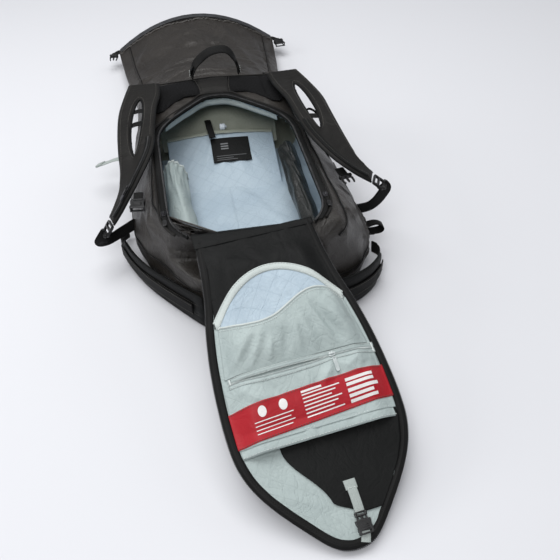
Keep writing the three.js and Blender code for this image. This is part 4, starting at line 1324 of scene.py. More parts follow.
tube_folds = random_folds(16, (0, 188, 80, 340), 78, 24, 150, 8, 3.4, 33)
probe_grid = lobed(
    [(70, 124, 70, 114, 17), (160, 123, 74, 118, 18), (260, 122, 78, 122, 18), (350, 122, 82, 126, 18)], 60,
    12, tube_folds, 1.2, closed_low=False
)
probe = cloth_piece("probe_sleeve_cloth", probe_grid[:, ::-1], "coated_cloth", wrap=True, thick=1.0)
probe_ring = swept_piece(
    "probe_hem", probe_grid[0], (0, 1, 0), round_section(1.8, 8), "black_cloth", closed=True
)
probe = join_pieces("probe_sleeve_cloth", [probe, probe_ring])
settle(probe, "pack", "black_cloth", "probe_sleeve")
print("sleeves:", len(sleeve.data.polygons), len(probe.data.polygons), "faces")

# %% Divider with its drawn hem
DIVIDER_FROM, DIVIDER_LENGTH, DIVIDER_RISE, DIVIDER_HALF = 354, 128, 52, 114
floor_top = 22.2


def divider_at(x, t, lift_by=0.0):
    x, t = np.broadcast_arrays(np.asarray(x, float), np.asarray(t, float))
    bow = 10 * (1 - (x / DIVIDER_HALF) ** 2) * t
    z = floor_top + DIVIDER_RISE * t**1.3 + lift_by - 3 * (x / DIVIDER_HALF) ** 2 * t
    return np.stack([x, HINGE[1] + DIVIDER_FROM + DIVIDER_LENGTH * t - 4 * (1 - t) + bow - 6, z], -1)


x, t = np.meshgrid(np.linspace(-DIVIDER_HALF, DIVIDER_HALF, 110), np.linspace(-0.06, 1, 70))
divider_grid = divider_at(x, np.maximum(t, 0))
divider_grid[..., 1] += np.minimum(t, 0) * 60
pulls = [((-100 + k * 24, 0.2 * 128), (-30 + k * 8, 128), 6, 1.8 * (-1) ** k) for k in range(9)]
divider_flat = np.stack([x, t * DIVIDER_LENGTH], -1)
divider_grid[..., 2] += (
    fold_lines(divider_flat, pulls) * ease(t, 0.1, 0.5)
    + roughen(divider_grid, 36, 15) * 0.8 * ease(t, 0, 0.3)
)
divider_grid[..., 2] -= 5.5 * (1 - ease(t, -0.06, 0.16))
divider = cloth_piece("divider_cloth", divider_grid, "lining_cloth", thick=0.9)
settle(divider, "pack", "lining_cloth", "divider")
hem_x = np.linspace(-DIVIDER_HALF, DIVIDER_HALF, 130)
hem_line = (
    divider_at(hem_x, 1.0, 2.2)
    + np.stack([hem_x * 0, hem_x * 0, roughen(np.stack([hem_x, hem_x * 0, hem_x * 0], -1), 12, 16) * 0.8], -1)
)
divider_hem = swept_piece("divider_hem", hem_line, (0, -0.3, 1), round_section(5.2, 10, 0.5), "olive_cloth")
hem_thread = stitch_row("hem_thread", hem_line + np.array([0, -6, 0.6]), (0, -0.3, 1), "pale_thread")
divider_hem = join_pieces("divider_hem", [divider_hem, hem_thread])
settle(divider_hem, "pack", "lining_cloth")
print("divider", 2 * DIVIDER_HALF, "mm wide")

# %% Inner collar behind the divider
collar_path = np.array([(468, 46), (492, 64), (511, 84), (530, 98), (560, 117), (586, 133)], float)
s = np.linspace(-1, 1, 90)[None, :]
t = np.linspace(0, 1, 50)[:, None]
d = np.interp(t, np.linspace(0, 1, len(collar_path)), collar_path[:, 0]) + 8 * (1 - s**2)
z = np.interp(t, np.linspace(0, 1, len(collar_path)), collar_path[:, 1]) + 6 * s**2
x = s * (124 + 8 * t)
collar_folds = random_folds(14, (-120, 120, 480, 590), 80, 60, 80, 9, 2.4, 57)
z = z + fold_lines(np.stack([x, d], -1), collar_folds) * ease(t, 0.2, 0.5) + noise_at(x, d, 26, 58) * 0.8
inner_collar = cloth_piece("inner_collar", np.stack([x, HINGE[1] + d, z], -1), "olive_cloth", thick=0.8)
settle(inner_collar, "pack", "lining_cloth")
print("inner collar", len(inner_collar.data.polygons), "faces")

# %% Label, loop and cord lock
LABEL_X = (-22, 60)
x, t = np.meshgrid(np.linspace(*LABEL_X, 40), np.linspace(0.5, 0.9, 30))
label_grid = divider_at(x, t, 2.4)
label = cloth_piece("label_cloth", label_grid, "black_cloth", thick=0.7)
marks = []
for low, high, left, right in (
    (0.79, 0.81, -2, 14), (0.75, 0.77, -2, 14), (0.71, 0.73, -2, 14), (0.60, 0.606, -14, 50),
    (0.565, 0.571, -14, 22), (0.535, 0.541, -14, 30)
):
    x, t = np.meshgrid(np.linspace(left, right, 8), np.linspace(low, high, 4))
    marks.append(cloth_piece("mark", divider_at(x, t, 2.75), "grey_print"))
label_marks = join_pieces("label_marks", marks)
settle(label, "pack", "black_cloth", "label_patch")
settle(label_marks, "pack", "black_cloth")

loop = strap(
    "tool_hanging_loop",
    [
        (-22, HINGE[1] + 516, 90), (-21, HINGE[1] + 500, 91), (-20, HINGE[1] + 484, 87),
        (-17, HINGE[1] + 462, 79)
    ],
    (0, -0.2, 1), 7.0, 1.8, "webbing", 24
)
settle(loop, "pack", "webbing", "tool_loop")

lock_at = Vector((10, HINGE[1] + 494, 84))
profile = [
    (0.0, -6.0), (5.2, -6.0), (7.0, -4.6), (7.4, -1.5), (6.4, -0.6), (6.4, 0.6), (7.4, 1.5), (7.0, 4.6),
    (4.6, 6.2), (3.2, 6.4), (3.0, 9.0), (0.0, 9.2)
]
turns = np.linspace(0, 2 * math.pi, 24, endpoint=False)
lock_grid = np.array(
    [
        [(lock_at.x - 2 + h, lock_at.y + r * math.cos(a), lock_at.z + r * math.sin(a)) for a in turns] for r,
        h in profile
    ]
)
lock = cloth_piece("cord_lock", lock_grid[:, ::-1], "clear_plastic", wrap=True)
settle(lock, "drawcord_lock", "clear_plastic", "drawcord_lock")
print("label, loop and cord lock are in")

# %% [markdown]
# ## The back panel
# The panel is a stiff board with cloth on both faces and a rolled binding round its edge, which carries its
# half of the zip. Its inner face is a stack of flat pockets sewn on top of each other, so each layer is
# worked out as a height over the panel: the sleeve for the water bladder lifts everything, and its sewn edges
# pull down.

# %% Heights over the panel
SLEEVE_FROM, SLEEVE_MOUTH = 14, 343
CLOTH_LOW, SLEEVE_LIFT = 3.7, 12.6


def stack_height(x, d):
    """The top of the bladder sleeve, which falls to its sewn edges."""
    sides = ease(panel_half(d) - 10 - np.abs(x), 0, 34)
    ends = ease(d, SLEEVE_FROM, 70)
    slack = noise_at(x, d, 80, 41) * 1.2
    return CLOTH_LOW + (SLEEVE_LIFT + slack) * sides * ends


def panel_grid(left, right, top, bottom, rows, columns, height):
    """A sheet on the panel. left and right give x, and top and bottom give d, at shares of the way."""
    s = np.linspace(0, 1, columns)[None, :]
    t = np.linspace(0, 1, rows)[:, None]
    x = left(t) * (1 - s) + right(t) * s
    d = top(x) * (1 - t) + bottom(x) * t
    return x, d, height(x, d)


def laid_on_panel(name, x, d, z, finish, thick=0.8):
    return cloth_piece(name, on_panel(x, d, z)[:, ::-1], finish, thick=thick, offset=-1.0)


constant = lambda value: (lambda at: np.zeros_like(at) + value)

# %% Lining and the dark patch under the bladder
s = np.linspace(-1, 1, 90)[None, :]
d = np.linspace(12, 487, 170)[:, None]
x = s * (panel_half(d) - 8)
d = np.broadcast_to(d, x.shape)
tip_folds = random_folds(12, (-110, 110, 350, 480), 60, 50, 90, 8, 1.2, 51)
z = (
    3.2
    + (noise_at(x, d, 50, 42) * 0.5 + np.abs(fold_lines(np.stack([x, d], -1), tip_folds))) * ease(d, 340, 370)
)
panel_lining = laid_on_panel("panel_lining_cloth", x, d, z, "panel_cloth")
settle(panel_lining, "back_panel", "lining_cloth", "panel_lining")


t = np.linspace(0, 1, 60)[:, None]
s = np.linspace(0, 1, 70)[None, :]
d = 330 + t * (453 - 330 + 0 * s)
right_x = panel_half(d) - 12
left_x = -62 + 47 * ease(d, 345, 435) + 28 * ease(d, 430, 452)
x = left_x * (1 - s) + right_x * s
z = 5.6 + noise_at(x, d, 30, 43) * 0.3
patch = laid_on_panel("bladder_patch", x, d, z, "black_cloth", 0.6)
settle(patch, "back_panel", "black_cloth")

# %% Bladder sleeve with its hemmed mouth
s = np.linspace(-1, 1, 110)[None, :]
d = np.linspace(SLEEVE_FROM, SLEEVE_MOUTH, 150)[:, None]
x = s * (panel_half(d) - 10)
d = np.broadcast_to(d, x.shape)
mouth_folds = random_folds(10, (-110, 110, 300, 345), 90, 20, 60, 7, 1.6, 44)
z = stack_height(x, d) + fold_lines(np.stack([x, d], -1), mouth_folds) * (1 - s**6)
sleeve_sheet = laid_on_panel("bladder_sleeve_cloth", x, d, z, "panel_cloth", 0.9)
hem_x = np.linspace(-1, 1, 120) * (panel_half(SLEEVE_MOUTH) - 12)
hem_d = SLEEVE_MOUTH + hem_x * 0
hem_z = stack_height(hem_x, hem_d) + fold_lines(np.stack([hem_x, hem_d], -1), mouth_folds)
rows = []
for back, up in ((0.6, -0.6), (0.9, 0.5), (-3, 1.0), (-15.5, 0.9), (-16.6, 0.1)):
    rows.append(on_panel(hem_x, hem_d + back, hem_z + up))
mouth_hem = cloth_piece("mouth_hem", np.stack(rows)[::-1, ::-1], "panel_cloth", thick=0.5)
mouth_thread = [
    stitch_row("thread", on_panel(hem_x, hem_d - q, hem_z + 1.2), panel_turn[:, 2], "pale_thread")
    for q in (1.8, 14.6)
]
sleeve_sheet = join_pieces("bladder_sleeve_cloth", [sleeve_sheet, mouth_hem] + mouth_thread)
settle(sleeve_sheet, "back_panel", "lining_cloth", "reservoir_sleeve")
print("bladder sleeve", len(sleeve_sheet.data.polygons), "faces")

# %% [markdown]
# The goggle pocket is a half-moon: an arched pale binding is sewn to the tough black cloth, and below it the
# pocket's soft cloth hangs from its two ends, so the pocket gapes. Folds run from the sewn corners to the
# slack mouth.

# %% Black facing and goggle pocket
MOUTH, MOUTH_ENDS, MOUTH_HALF, POCKET_FOOT = 78, 146, 98, 229


def arch(x):
    return MOUTH + (MOUTH_ENDS - MOUTH) * np.minimum(1, (np.asarray(x) / MOUTH_HALF) ** 2)


facing_folds = random_folds(9, (-80, 80, 20, 90), 80, 60, 90, 9, 1.3, 45)


def face_half(t, start, end):
    return panel_half(start + t * (end - start)) - 7


x, d, z = panel_grid(
    lambda t: -face_half(t, 10, 130), lambda t: face_half(t, 10, 130), constant(9),
    lambda x: arch(x) + 3, 110, 100,
    lambda x, d: stack_height(x, d) + 1.0,
)
z = z + np.abs(fold_lines(np.stack([x, d], -1), facing_folds)) + noise_at(x, d, 24, 46) * 0.25
facing = laid_on_panel("panel_facing", x, d, z, "black_cloth", 0.8)
settle(facing, "back_panel", "black_cloth", "panel_base")

back_folds = random_folds(12, (-80, 80, 90, 200), 80, 60, 80, 8, 1.4, 56)
x, d, z = panel_grid(
    lambda t: -(MOUTH_HALF - 2 + t * 8), lambda t: MOUTH_HALF - 2 + t * 8, lambda x: arch(x) - 1,
    constant(204), 90, 100,
    lambda x, d: stack_height(x, d) + 0.9,
)
z = z + np.abs(fold_lines(np.stack([x, d], -1), back_folds)) * ease(d - arch(x), 4, 16)
# The pocket's back takes the bluer lining cloth instead of the pocket's own pale cloth: painted shade inside
# the gaping pocket.
pocket_back = laid_on_panel("pocket_back", x, d, z, "lining_cloth", 0.6)
settle(pocket_back, "back_panel", "lining_cloth")


def free_edge(x):
    """Where the pocket's slack mouth hangs."""
    across = np.asarray(x, float)
    hang = (64 - 0.42 * across) * (1 - np.minimum(1, (across / 95) ** 2))
    return arch(x) + 8 + hang + 4 * np.sin(across / 22 + 2) * (hang / 64)


pocket_folds = [
    ((-104, 226), (-52, 172), 7, 5.0), ((-70, 228), (-40, 176), 6, 3.6), ((98, 226), (52, 150), 8, 6.0), (
        (76, 228), (44, 158), 6, -4.0
    ),
    ((34, 228), (20, 168), 7, 4.4), ((-16, 226), (-4, 180), 7, -3.2), ((104, 200), (60, 148), 6, 4.6), (
        (-102, 204), (-66, 176), 6, 3.4
    ),
    ((60, 226), (34, 150), 5, 3.4), ((-40, 226), (-30, 190), 5, 3.0), ((8, 226), (10, 176), 5, 2.6), (
        (96, 180), (72, 140), 5, 3.4
    ),
]


def pocket_height(x, d):
    reach = np.clip((d - free_edge(x)) / (POCKET_FOOT - free_edge(x)), 0, 1)
    half = 94 + 14 * reach
    bulge = (1 - np.clip(np.abs(x) / half, 0, 1) ** 4) * (1 - reach**2)
    lines = fold_lines(np.stack([x, d], -1), pocket_folds) + noise_at(x, d, 22, 47) * 0.7
    return stack_height(x, d) + 1.9 + 15.5 * bulge + lines * (1 - reach**6) * ease(half - np.abs(x), 0, 14)


x, d, z = panel_grid(
    lambda t: -(MOUTH_HALF + 11 * t), lambda t: MOUTH_HALF + 11 * t, free_edge,
    constant(POCKET_FOOT), 90, 130, pocket_height
)
goggle = laid_on_panel("goggle_pocket_cloth", x, d, z, "panel_cloth", 0.9)
edge_x = np.linspace(-MOUTH_HALF + 1, MOUTH_HALF - 1, 140)
edge_d = free_edge(edge_x)
lip_roll = swept_piece(
    "lip_roll", on_panel(edge_x, edge_d, pocket_height(edge_x, edge_d) - 0.4), panel_turn[:, 2],
    round_section(1.9, 8), "pale_tape"
)
lip_thread = stitch_row(
    "thread", on_panel(edge_x, edge_d + 5, pocket_height(edge_x, edge_d + 5) + 0.3), panel_turn[:, 2],
    "pale_thread"
)
goggle = join_pieces("goggle_pocket_cloth", [goggle, lip_roll, lip_thread])
settle(goggle, "back_panel", "lining_cloth", "goggle_pocket")

arch_x = np.linspace(-MOUTH_HALF - 2, MOUTH_HALF + 2, 140)
rows = []
for out, up in ((-7.2, 0.2), (-6.6, 1.2), (-2, 1.7), (4.4, 1.6), (5.2, 0.4)):
    slope = np.gradient(arch(arch_x), arch_x)
    tilt = 1 / np.sqrt(1 + slope**2)
    px, pd = arch_x - out * slope * tilt, arch(arch_x) + out * tilt
    rows.append(on_panel(px, pd, stack_height(px, pd) + up + 0.6))
arch_band = cloth_piece("pocket_arch", np.stack(rows)[:, ::-1], "pale_tape", thick=0.7)
thread_rows = []
for out in (-5.4, 3.4):
    px, pd = arch_x - out * slope * tilt, arch(arch_x) + out * tilt
    thread_rows.append(
        stitch_row("thread", on_panel(px, pd, stack_height(px, pd) + 2.4), panel_turn[:, 2], "pale_thread")
    )
arch_band = join_pieces("pocket_arch", [arch_band] + thread_rows)
settle(arch_band, "back_panel", "lining_cloth")
print("goggle pocket gapes", round(float(free_edge(0) - arch(0))), "mm")

# %% [markdown]
# The zip pocket's coil is open from the left end to its slider. The slack cloth below it bulges, so the slit
# gapes.

# %% Zip pocket
ZIP_AT, ZIP_LEFT, ZIP_RIGHT, SLIDER_X = 238, -101, 112, 47
zip_folds = [
    ((-100, 250), (-50, 290), 8, 4.4), ((-60, 246), (-40, 285), 7, -3.4), ((45, 246), (20, 280), 7, 4.8), (
        (52, 246), (80, 276), 7, 4.6
    ),
    ((100, 248), (84, 275), 6, -3.6), ((0, 250), (6, 300), 9, 3.0), ((-110, 270), (-70, 312), 7, 2.4), (
        (112, 262), (60, 308), 8, 2.4
    ),
    ((92, 244), (60, 262), 5, 3.6), ((112, 252), (80, 258), 5, 3.0), ((-108, 262), (-80, 252), 5, 3.0),
]


def gape(x):
    return 5.5 * np.clip(1 - ((np.asarray(x) + 28) / 72) ** 2, 0, 1)


def zip_height(x, d):
    down = np.clip((d - ZIP_AT) / (332 - ZIP_AT), 0, 1)
    half = panel_half(d) - 13
    bulge = (
        (1 - np.clip(np.abs(x) / half, 0, 1) ** 5)
        * np.sin(np.clip(down * 1.06 + 0.16, 0, 1) * math.pi) ** 0.8
    )
    lines = (
        fold_lines(np.stack([x, d], -1), zip_folds) * (1 - ease(d, 262, 296)) + noise_at(x, d, 20, 48) * 0.5
    )
    return (
        stack_height(x, d) + 1.8 + 9.5 * bulge + lines * bulge
        + gape(x) * 0.9 * (1 - ease(d, ZIP_AT, ZIP_AT + 30))
    )


x, d, z = panel_grid(
    lambda t: -(panel_half(244 + t * 86) - 12), lambda t: panel_half(244 + t * 86) - 12,
    lambda x: ZIP_AT + 4 + gape(x), constant(331), 80, 130, zip_height,
)
zip_cloth = laid_on_panel("zip_pocket_cloth", x, d, z, "panel_cloth", 0.9)
zip_x = np.linspace(ZIP_LEFT - 5, ZIP_RIGHT + 4, 170)
parts = [zip_cloth]
for side in (-1, 1):
    line_d = ZIP_AT + side * 0.9 + (gape(zip_x) if side > 0 else -gape(zip_x) * 0.25)
    height = zip_height if side > 0 else (lambda x, d: stack_height(x, d) + 1.6 + gape(x) * 0.2)
    rows = [on_panel(zip_x, line_d + side * q, height(zip_x, line_d + side * q) + 0.45) for q in (0.4, 4, 7)]
    tape_grid = np.stack(rows if side > 0 else rows[::-1])
    parts.append(cloth_piece("tape", tape_grid[:, ::-1], "panel_cloth", thick=0.4))
    teeth_line = on_panel(zip_x, line_d, height(zip_x, line_d) + 1.0)
    parts.append(
        zip_teeth("teeth", teeth_line, panel_turn[:, 2], "coil_pale", pitch=1.9, reach=1.3, radius=0.6)
    )
    stitch_d = line_d + side * 6.4
    parts.append(
        stitch_row(
            "thread", on_panel(zip_x, stitch_d, height(zip_x, stitch_d) + 1.1), panel_turn[:, 2],
            "pale_thread", 2.4, 1.1
        )
    )
for end_x in (ZIP_LEFT - 2, ZIP_RIGHT + 1):
    bar = [on_panel(end_x, ZIP_AT + q, stack_height(end_x, ZIP_AT) + 3.2) for q in np.linspace(-7, 7, 8)]
    parts.append(
        swept_piece("bar_tack", np.array(bar), panel_turn[:, 2], round_section(1.2, 8, 0.6), "pale_thread")
    )
zip_pocket = join_pieces("zip_pocket_cloth", parts)
settle(zip_pocket, "back_panel", "lining_cloth", "zip_pocket", "pocket_zip_tape")
print("zip pocket", len(zip_pocket.data.polygons), "faces")

# %% [markdown]
# The red card is a printed cloth strip sewn across the pockets. Its print is left generic: plain blocks and
# rules.


# %% Red card and its plain print
def card_point(u, t, lift_by=0.0):
    """A point on the card, u from left to right and t from its upper edge to its lower one, both from 0 to
    1."""
    u, t = np.broadcast_arrays(np.asarray(u, float), np.asarray(t, float))
    d = (279 - 12 * u) * (1 - t) + (330 - 15 * u) * t
    reach = np.minimum(panel_half(d) - 9.5, 117.5)
    x = -reach + 2 * reach * u
    return on_panel(x, d, zip_height(x, d) + 1.0 + lift_by)


u, t = np.meshgrid(np.linspace(0, 1, 130), np.linspace(0, 1, 34))
card = cloth_piece("card_cloth", card_point(u, t)[:, ::-1], "red_cloth", thick=0.5)
blocks = (
    [(0.72, 0.90, 0.16 + k * 0.135, 0.25 + k * 0.135) for k in range(2)]
    + [(0.72, 0.92, 0.46, 0.56), (0.72, 0.88, 0.62, 0.71), (0.72, 0.9, 0.77, 0.86)]
)
blocks += [(0.44, 0.68 - 0.03 * (k % 3), 0.2 + k * 0.1, 0.235 + k * 0.1) for k in range(7)]
blocks += [(0.44, 0.57, 0.1, 0.16)]
blocks += [(0.13, 0.37 - 0.02 * (k % 2), 0.50 + k * 0.1, 0.525 + k * 0.1) for k in range(4)]
prints = []
for left, right, high, low in blocks:
    u, t = np.meshgrid(np.linspace(left, right, 12), np.linspace(high, low, 3))
    prints.append(cloth_piece("print", card_point(u, t, 0.35)[:, ::-1], "white_print"))
for centre in (0.19, 0.32):
    r, a = np.meshgrid(np.linspace(0.02, 1, 4), np.linspace(0, 2 * math.pi, 25))
    prints.append(
        cloth_piece(
            "print", card_point(centre + r * np.cos(a) * 0.026, 0.27 + r * np.sin(a) * 0.15, 0.35),
            "white_print"
        )
    )
card_print = join_pieces("card_print", prints)
card_parts = []
for t_at in (0.035, 0.965):
    line = card_point(np.linspace(0.005, 0.995, 140), t_at, 0.5)
    card_parts.append(stitch_row("thread", line, panel_turn[:, 2], "grey_thread", 2.6, 1.2))
card_thread = join_pieces("card_thread", card_parts)
settle(card, "back_panel", "red_cloth", "info_card")
settle(card_print, "back_panel", "red_cloth")
settle(card_thread, "back_panel", "red_cloth")
print(len(prints), "blocks of print")

# %% Binding and the panel's half of the main zip
rim = outline(panel_half, 4, PANEL_LENGTH, -5.5, 360)
rim_line = on_panel(rim[:, 0], rim[:, 1], 0.6 + noise_at(rim[:, 0], rim[:, 1], 40, 52) * 0.3)
side_way = panel_turn[:, 2]
binding = swept_piece("binding", rim_line, side_way, round_section(7.0, 14, 0.72), "webbing")
teeth_rim = outline(panel_half, 26, PANEL_LENGTH, 0.6, 420)
panel_teeth = zip_teeth("teeth", on_panel(teeth_rim[:, 0], teeth_rim[:, 1], 1.4), side_way)
inner_rim = outline(panel_half, 12, PANEL_LENGTH, -10.2, 360)
rim_thread = stitch_row("thread", on_panel(inner_rim[:, 0], inner_rim[:, 1], 4.6), side_way, "black_thread")
binding = join_pieces("panel_edge", [binding, panel_teeth, rim_thread])
settle(binding, "back_panel", "webbing", "panel_binding")

board = frame["nodes"]["frame_sheet"]
board.data.materials.clear()
board.data.materials.append(finishes["board_plastic"])
print("binding", round(float(distances(rim_line)[-1])), "mm round")

# %% [markdown]
# The panel's other face rests on the wearer's back. It is moulded foam under spacer mesh, with two back pads,
# a lumbar pad and air channels between them. The pads are heights over the board that fall steeply at their
# edges.


# %% Moulded back foam
def pad_rise(x, d, x0, x1, d0, d1, corner):
    """How far a point is inside a rounded rectangle, in mm."""
    cx, cd = (x0 + x1) / 2, (d0 + d1) / 2
    qx = np.abs(x - cx) - (x1 - x0) / 2 + corner
    qd = np.abs(d - cd) - (d1 - d0) / 2 + corner
    outside = np.hypot(np.maximum(qx, 0), np.maximum(qd, 0)) + np.minimum(np.maximum(qx, qd), 0) - corner
    return -outside


s = np.linspace(-1, 1, 140)[None, :]
d = np.linspace(9, 489, 260)[:, None]
x = s * (panel_half(d) - 6)
d = np.broadcast_to(d, x.shape)
inside = np.maximum.reduce([
    pad_rise(x, d, -84, -20, 150, 405, 24), pad_rise(x, d, 20, 84, 150, 405, 24), pad_rise(
        x, d, -78, 78, 40, 136, 26
    ),
])
swell = np.sqrt(np.clip(inside, 0, 16) / 16) * 11.5
grooves = np.maximum(0, 1 - np.abs(((d + 8) % 42) - 21) / 3.2) * 2.6 * (swell > 4) * (np.abs(x) < 84)
z = -3.3 - swell + grooves - noise_at(x, d, 60, 53) * 0.3
foam = cloth_piece("back_foam_mesh", on_panel(x, d, z), "mesh_foam", thick=0.0)
edges = []
for ring in (
    rounded_box(-84, -20, 150, 405, 24), rounded_box(20, 84, 150, 405, 24), rounded_box(-78, 78, 40, 136, 26),
):
    closed = np.array(ring + ring[:1])
    edge = on_panel(closed[:, 0], closed[:, 1], -3.6)
    edges.append(swept_piece("pad_seam", edge, -side_way, round_section(1.3, 8), "black_cloth"))
foam = join_pieces("back_foam_mesh", [foam] + edges)
settle(foam, "back_panel", "mesh_foam", "back_foam")
print("back foam", len(foam.data.polygons), "faces")

# %% [markdown]
# The lip at the bottom of the opening is one strip of cloth, half of it sewn to the bag and half to the
# panel.

# %% Hinge strip
s = np.linspace(-1, 1, 80)
strip_rows = []
for kind, q, z in (
    ("in", 26, -14), ("in", 14, -6), ("in", 6, -1.5), ("in", 1, 1.6), ("out", 2, 3.0), ("out", 6, 3.9),
    ("out", 10, 4.3), ("out", 14, 4.3)
):
    x = s * (97 - 2 * (kind == "in") * (q > 10))
    strip_rows.append(on_back(x, q, z) if kind == "in" else on_panel(x, q + x * 0, z))
strip_grid = np.stack(strip_rows)
fine = np.stack([curve_through(strip_grid[:, k], 40) for k in range(len(s))], 1)
hinge_strip = cloth_piece("hinge_strip", fine, "black_cloth", thick=1.2)
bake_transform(hinge_strip)
print("hinge strip", len(hinge_strip.data.polygons), "faces")

# %% [markdown]
# ## The yoke and its handle
# The pad between the shoulder straps is moulded foam under spacer mesh, with smoother cloth down its middle
# and a dark piping along its top edge. The haul loop is one length of webbing, arched and sewn down at both
# ends.

# %% Yoke pad
s = np.linspace(-1, 1, 150)[None, :]
t = np.linspace(0, 1, 60)[:, None]
yoke_low = np.interp(np.abs(s) * 146, [0, 66, 96, 112, 128, 138, 146], [511, 504, 470, 446, 440, 466, 500])
yoke_top = np.interp(np.abs(s) * 146, [0, 136, 146], [584, 567, 548])
x = s * 146 + t * 0
d = yoke_low * (1 - t) + yoke_top * t + 0 * x
rim_in = np.minimum(np.minimum(t, 1 - t) * 60, (1 - np.abs(s)) * 100)
middle = 30 + 8 * t
channel = np.exp(-((np.abs(x) - middle) / 3.0) ** 2) * 3.4 + np.exp(-((np.abs(x) - 104) / 3.0) ** 2) * 2.4
swell = 7.5 * np.sqrt(np.clip(rim_in, 0, 11) / 11)
z = 1.2 + np.maximum(swell - channel * (swell > 3), 0.4) + noise_at(x, d, 34, 61) * 0.7
yoke_grid = on_back(x, d, z)
under = on_back(x, d, z * 0 + 0.9)
yoke = cloth_piece("yoke_cushion", yoke_grid, "mesh_foam")
yoke.data.materials.append(finishes["strap_cloth"])
for face in yoke.data.polygons:
    if abs(face.center.x) < 0.033:
        face.material_index = 1
yoke_back = cloth_piece("yoke_back", under[:, ::-1], "mesh_foam")
yoke = join_pieces("yoke_cushion", [yoke, yoke_back])
rim_count = len(yoke.data.vertices) // 2
sewn = [
    v.index for v in yoke.data.vertices
    if v.index >= rim_count or v.index // 150 in (0, 59) or v.index % 150 in (0, 149)
]
blow_up(yoke, sewn, pressure=1.4, cap=1.6, steps=10)
settle(yoke, "pack", "mesh_foam", "yoke_pad")
yoke_parts = []
top_x = np.linspace(-140, 140, 160)
top_d = np.interp(np.abs(top_x), [0, 136, 146], [585, 568, 549])
yoke_parts.append(
    swept_piece("yoke_piping", on_back(top_x, top_d, 4.4), OUT, round_section(1.6, 8), "strap_cloth")
)
for side in (-1, 1):
    seam_d = np.linspace(516, 578, 40)
    seam_x = side * (30 + 8 * np.linspace(0, 1, 40))
    yoke_parts.append(stitch_row("thread", on_back(seam_x, seam_d, 6.6), OUT, "grey_thread"))
yoke_trim = join_pieces("yoke_piping", yoke_parts)
settle(yoke_trim, "pack", "grey_webbing")

# %% Haul loop
HANDLE_AT = np.array(joints["grab_handle_swing"]["pos_m"]) / MM
handle_points = [
    (-50, 0, -1), (-48, 1, 12), (-38, 4, 30), (-8, 10, 49), (26, 12, 50), (43, 8, 32), (49, 2, 12),
    (50, 0, -1)
]
handle_up = [
    (-1, 0, 0), (-0.9, -0.5, 0.1), (-0.6, -1, 0.4), (-0.2, -0.9, 0.9),
    (0.3, -0.7, 0.9), (0.8, -0.5, 0.5), (1, -0.2, 0.1), (1, 0, 0),
]
handle = strap("haul_loop", np.array(handle_points) + HANDLE_AT, handle_up, 9.2, 2.6, "webbing", 70, 0.5)
folded = [
    strap(
        "fold", np.array([(-53.2, 0, 2), (-53, 1, 12), (-47, 3, 24)]) + HANDLE_AT,
        [(-1, 0, 0), (-1, 0, 0.2), (-1, 0, 0.4)], 7.6, 1.8, "webbing", 16, 0.2
    )
]
folded.append(
    strap(
        "fold", np.array([(53.2, 0, 2), (52.6, 1, 12), (48.5, 5, 26)]) + HANDLE_AT,
        [(1, 0, 0), (1, 0, 0.1), (1, 0, 0.3)], 7.6, 1.8, "webbing", 16, 0.2
    )
)
for side in (-1, 1):
    for z0, z1 in ((3, 14), (14, 3)):
        line = np.array([(side * 54.6, -5, z0), (side * 54.6, 5, z1)]) + HANDLE_AT
        folded.append(stitch_row("thread", curve_through(line, 10), (side, 0, 0), "pale_thread", 2.2, 0.9))
handle = join_pieces("haul_loop", [handle] + folded)
settle(handle, "grab_handle", "webbing", "grab_handle")
print("haul loop", len(handle.data.polygons), "faces")

# %% [markdown]
# ## Shoulder straps
# Each strap is foam in cloth, with a long vent. Its seams pinch it flat: the edge, the vent's rim, and the
# cross seam below the vent. So the padding's height grows with the distance from the nearest seam, and a
# light cloth simulation then blows it up between the sewn lines. The binding, the zip channel and the threads
# are sewn on afterwards.

# %% Path and outline of the straps
STRAPS = {  # out from the middle, distance from the hinge, height, half width
    "left": [(146, 536, 177, 31), (152, 486, 180, 36), (163, 410, 188, 37), (168, 335, 193, 36),
             (173, 262, 186, 34), (192, 214, 156, 27), (213, 194, 124, 21), (231, 184, 100, 17)],
    "right": [(148, 536, 177, 33), (156, 470, 184, 38), (166, 390, 194, 38), (168, 315, 201, 36),
              (175, 244, 199, 35), (193, 186, 188, 30), (218, 158, 171, 24), (240, 147, 156, 18)],
}
STRAP_TILT = {
    "left": (0.02, 0.08, 0.16, 0.22, 0.35, 0.7, 0.9, 0.95),
    "right": (0.02, 0.06, 0.1, 0.12, 0.2, 0.3, 0.35, 0.4)
}
VENT_OUT, VENT_AT, VENT_HALF, VENT_WIDE, VENT_LEAN = 166, 362, 104, 11, 9
STRAP_ROWS, STRAP_COLUMNS = 170, 41


def strap_frame(name):
    side = -1 if name == "left" else 1
    stops = np.array(STRAPS[name], float)
    spots = np.stack([side * stops[:, 0], HINGE[1] + stops[:, 1], stops[:, 2]], 1)
    path = curve_through(np.hstack([spots, stops[:, 3:], np.array(STRAP_TILT[name])[:, None]]), STRAP_ROWS)
    up = unit(np.stack([side * path[:, 4], path[:, 4] * 0, path[:, 4] * 0 + 1], 1))
    forward, across, face = sweep_frames(path[:, :3], up)
    return side, path[:, :3], path[:, 3], forward, across, face


def vent_offset(side, spot):
    """How far a point is outside the vent, in mm, by the vent's own oval."""
    lean = VENT_LEAN * (1 if side < 0 else 0.3)
    slide = (spot[..., 1] - HINGE[1] - VENT_AT) / VENT_HALF
    middle = side * (VENT_OUT - slide * lean)
    across = (spot[..., 0] - middle) / VENT_WIDE
    return (np.sqrt(across**2 + slide**2) - 1) * VENT_WIDE


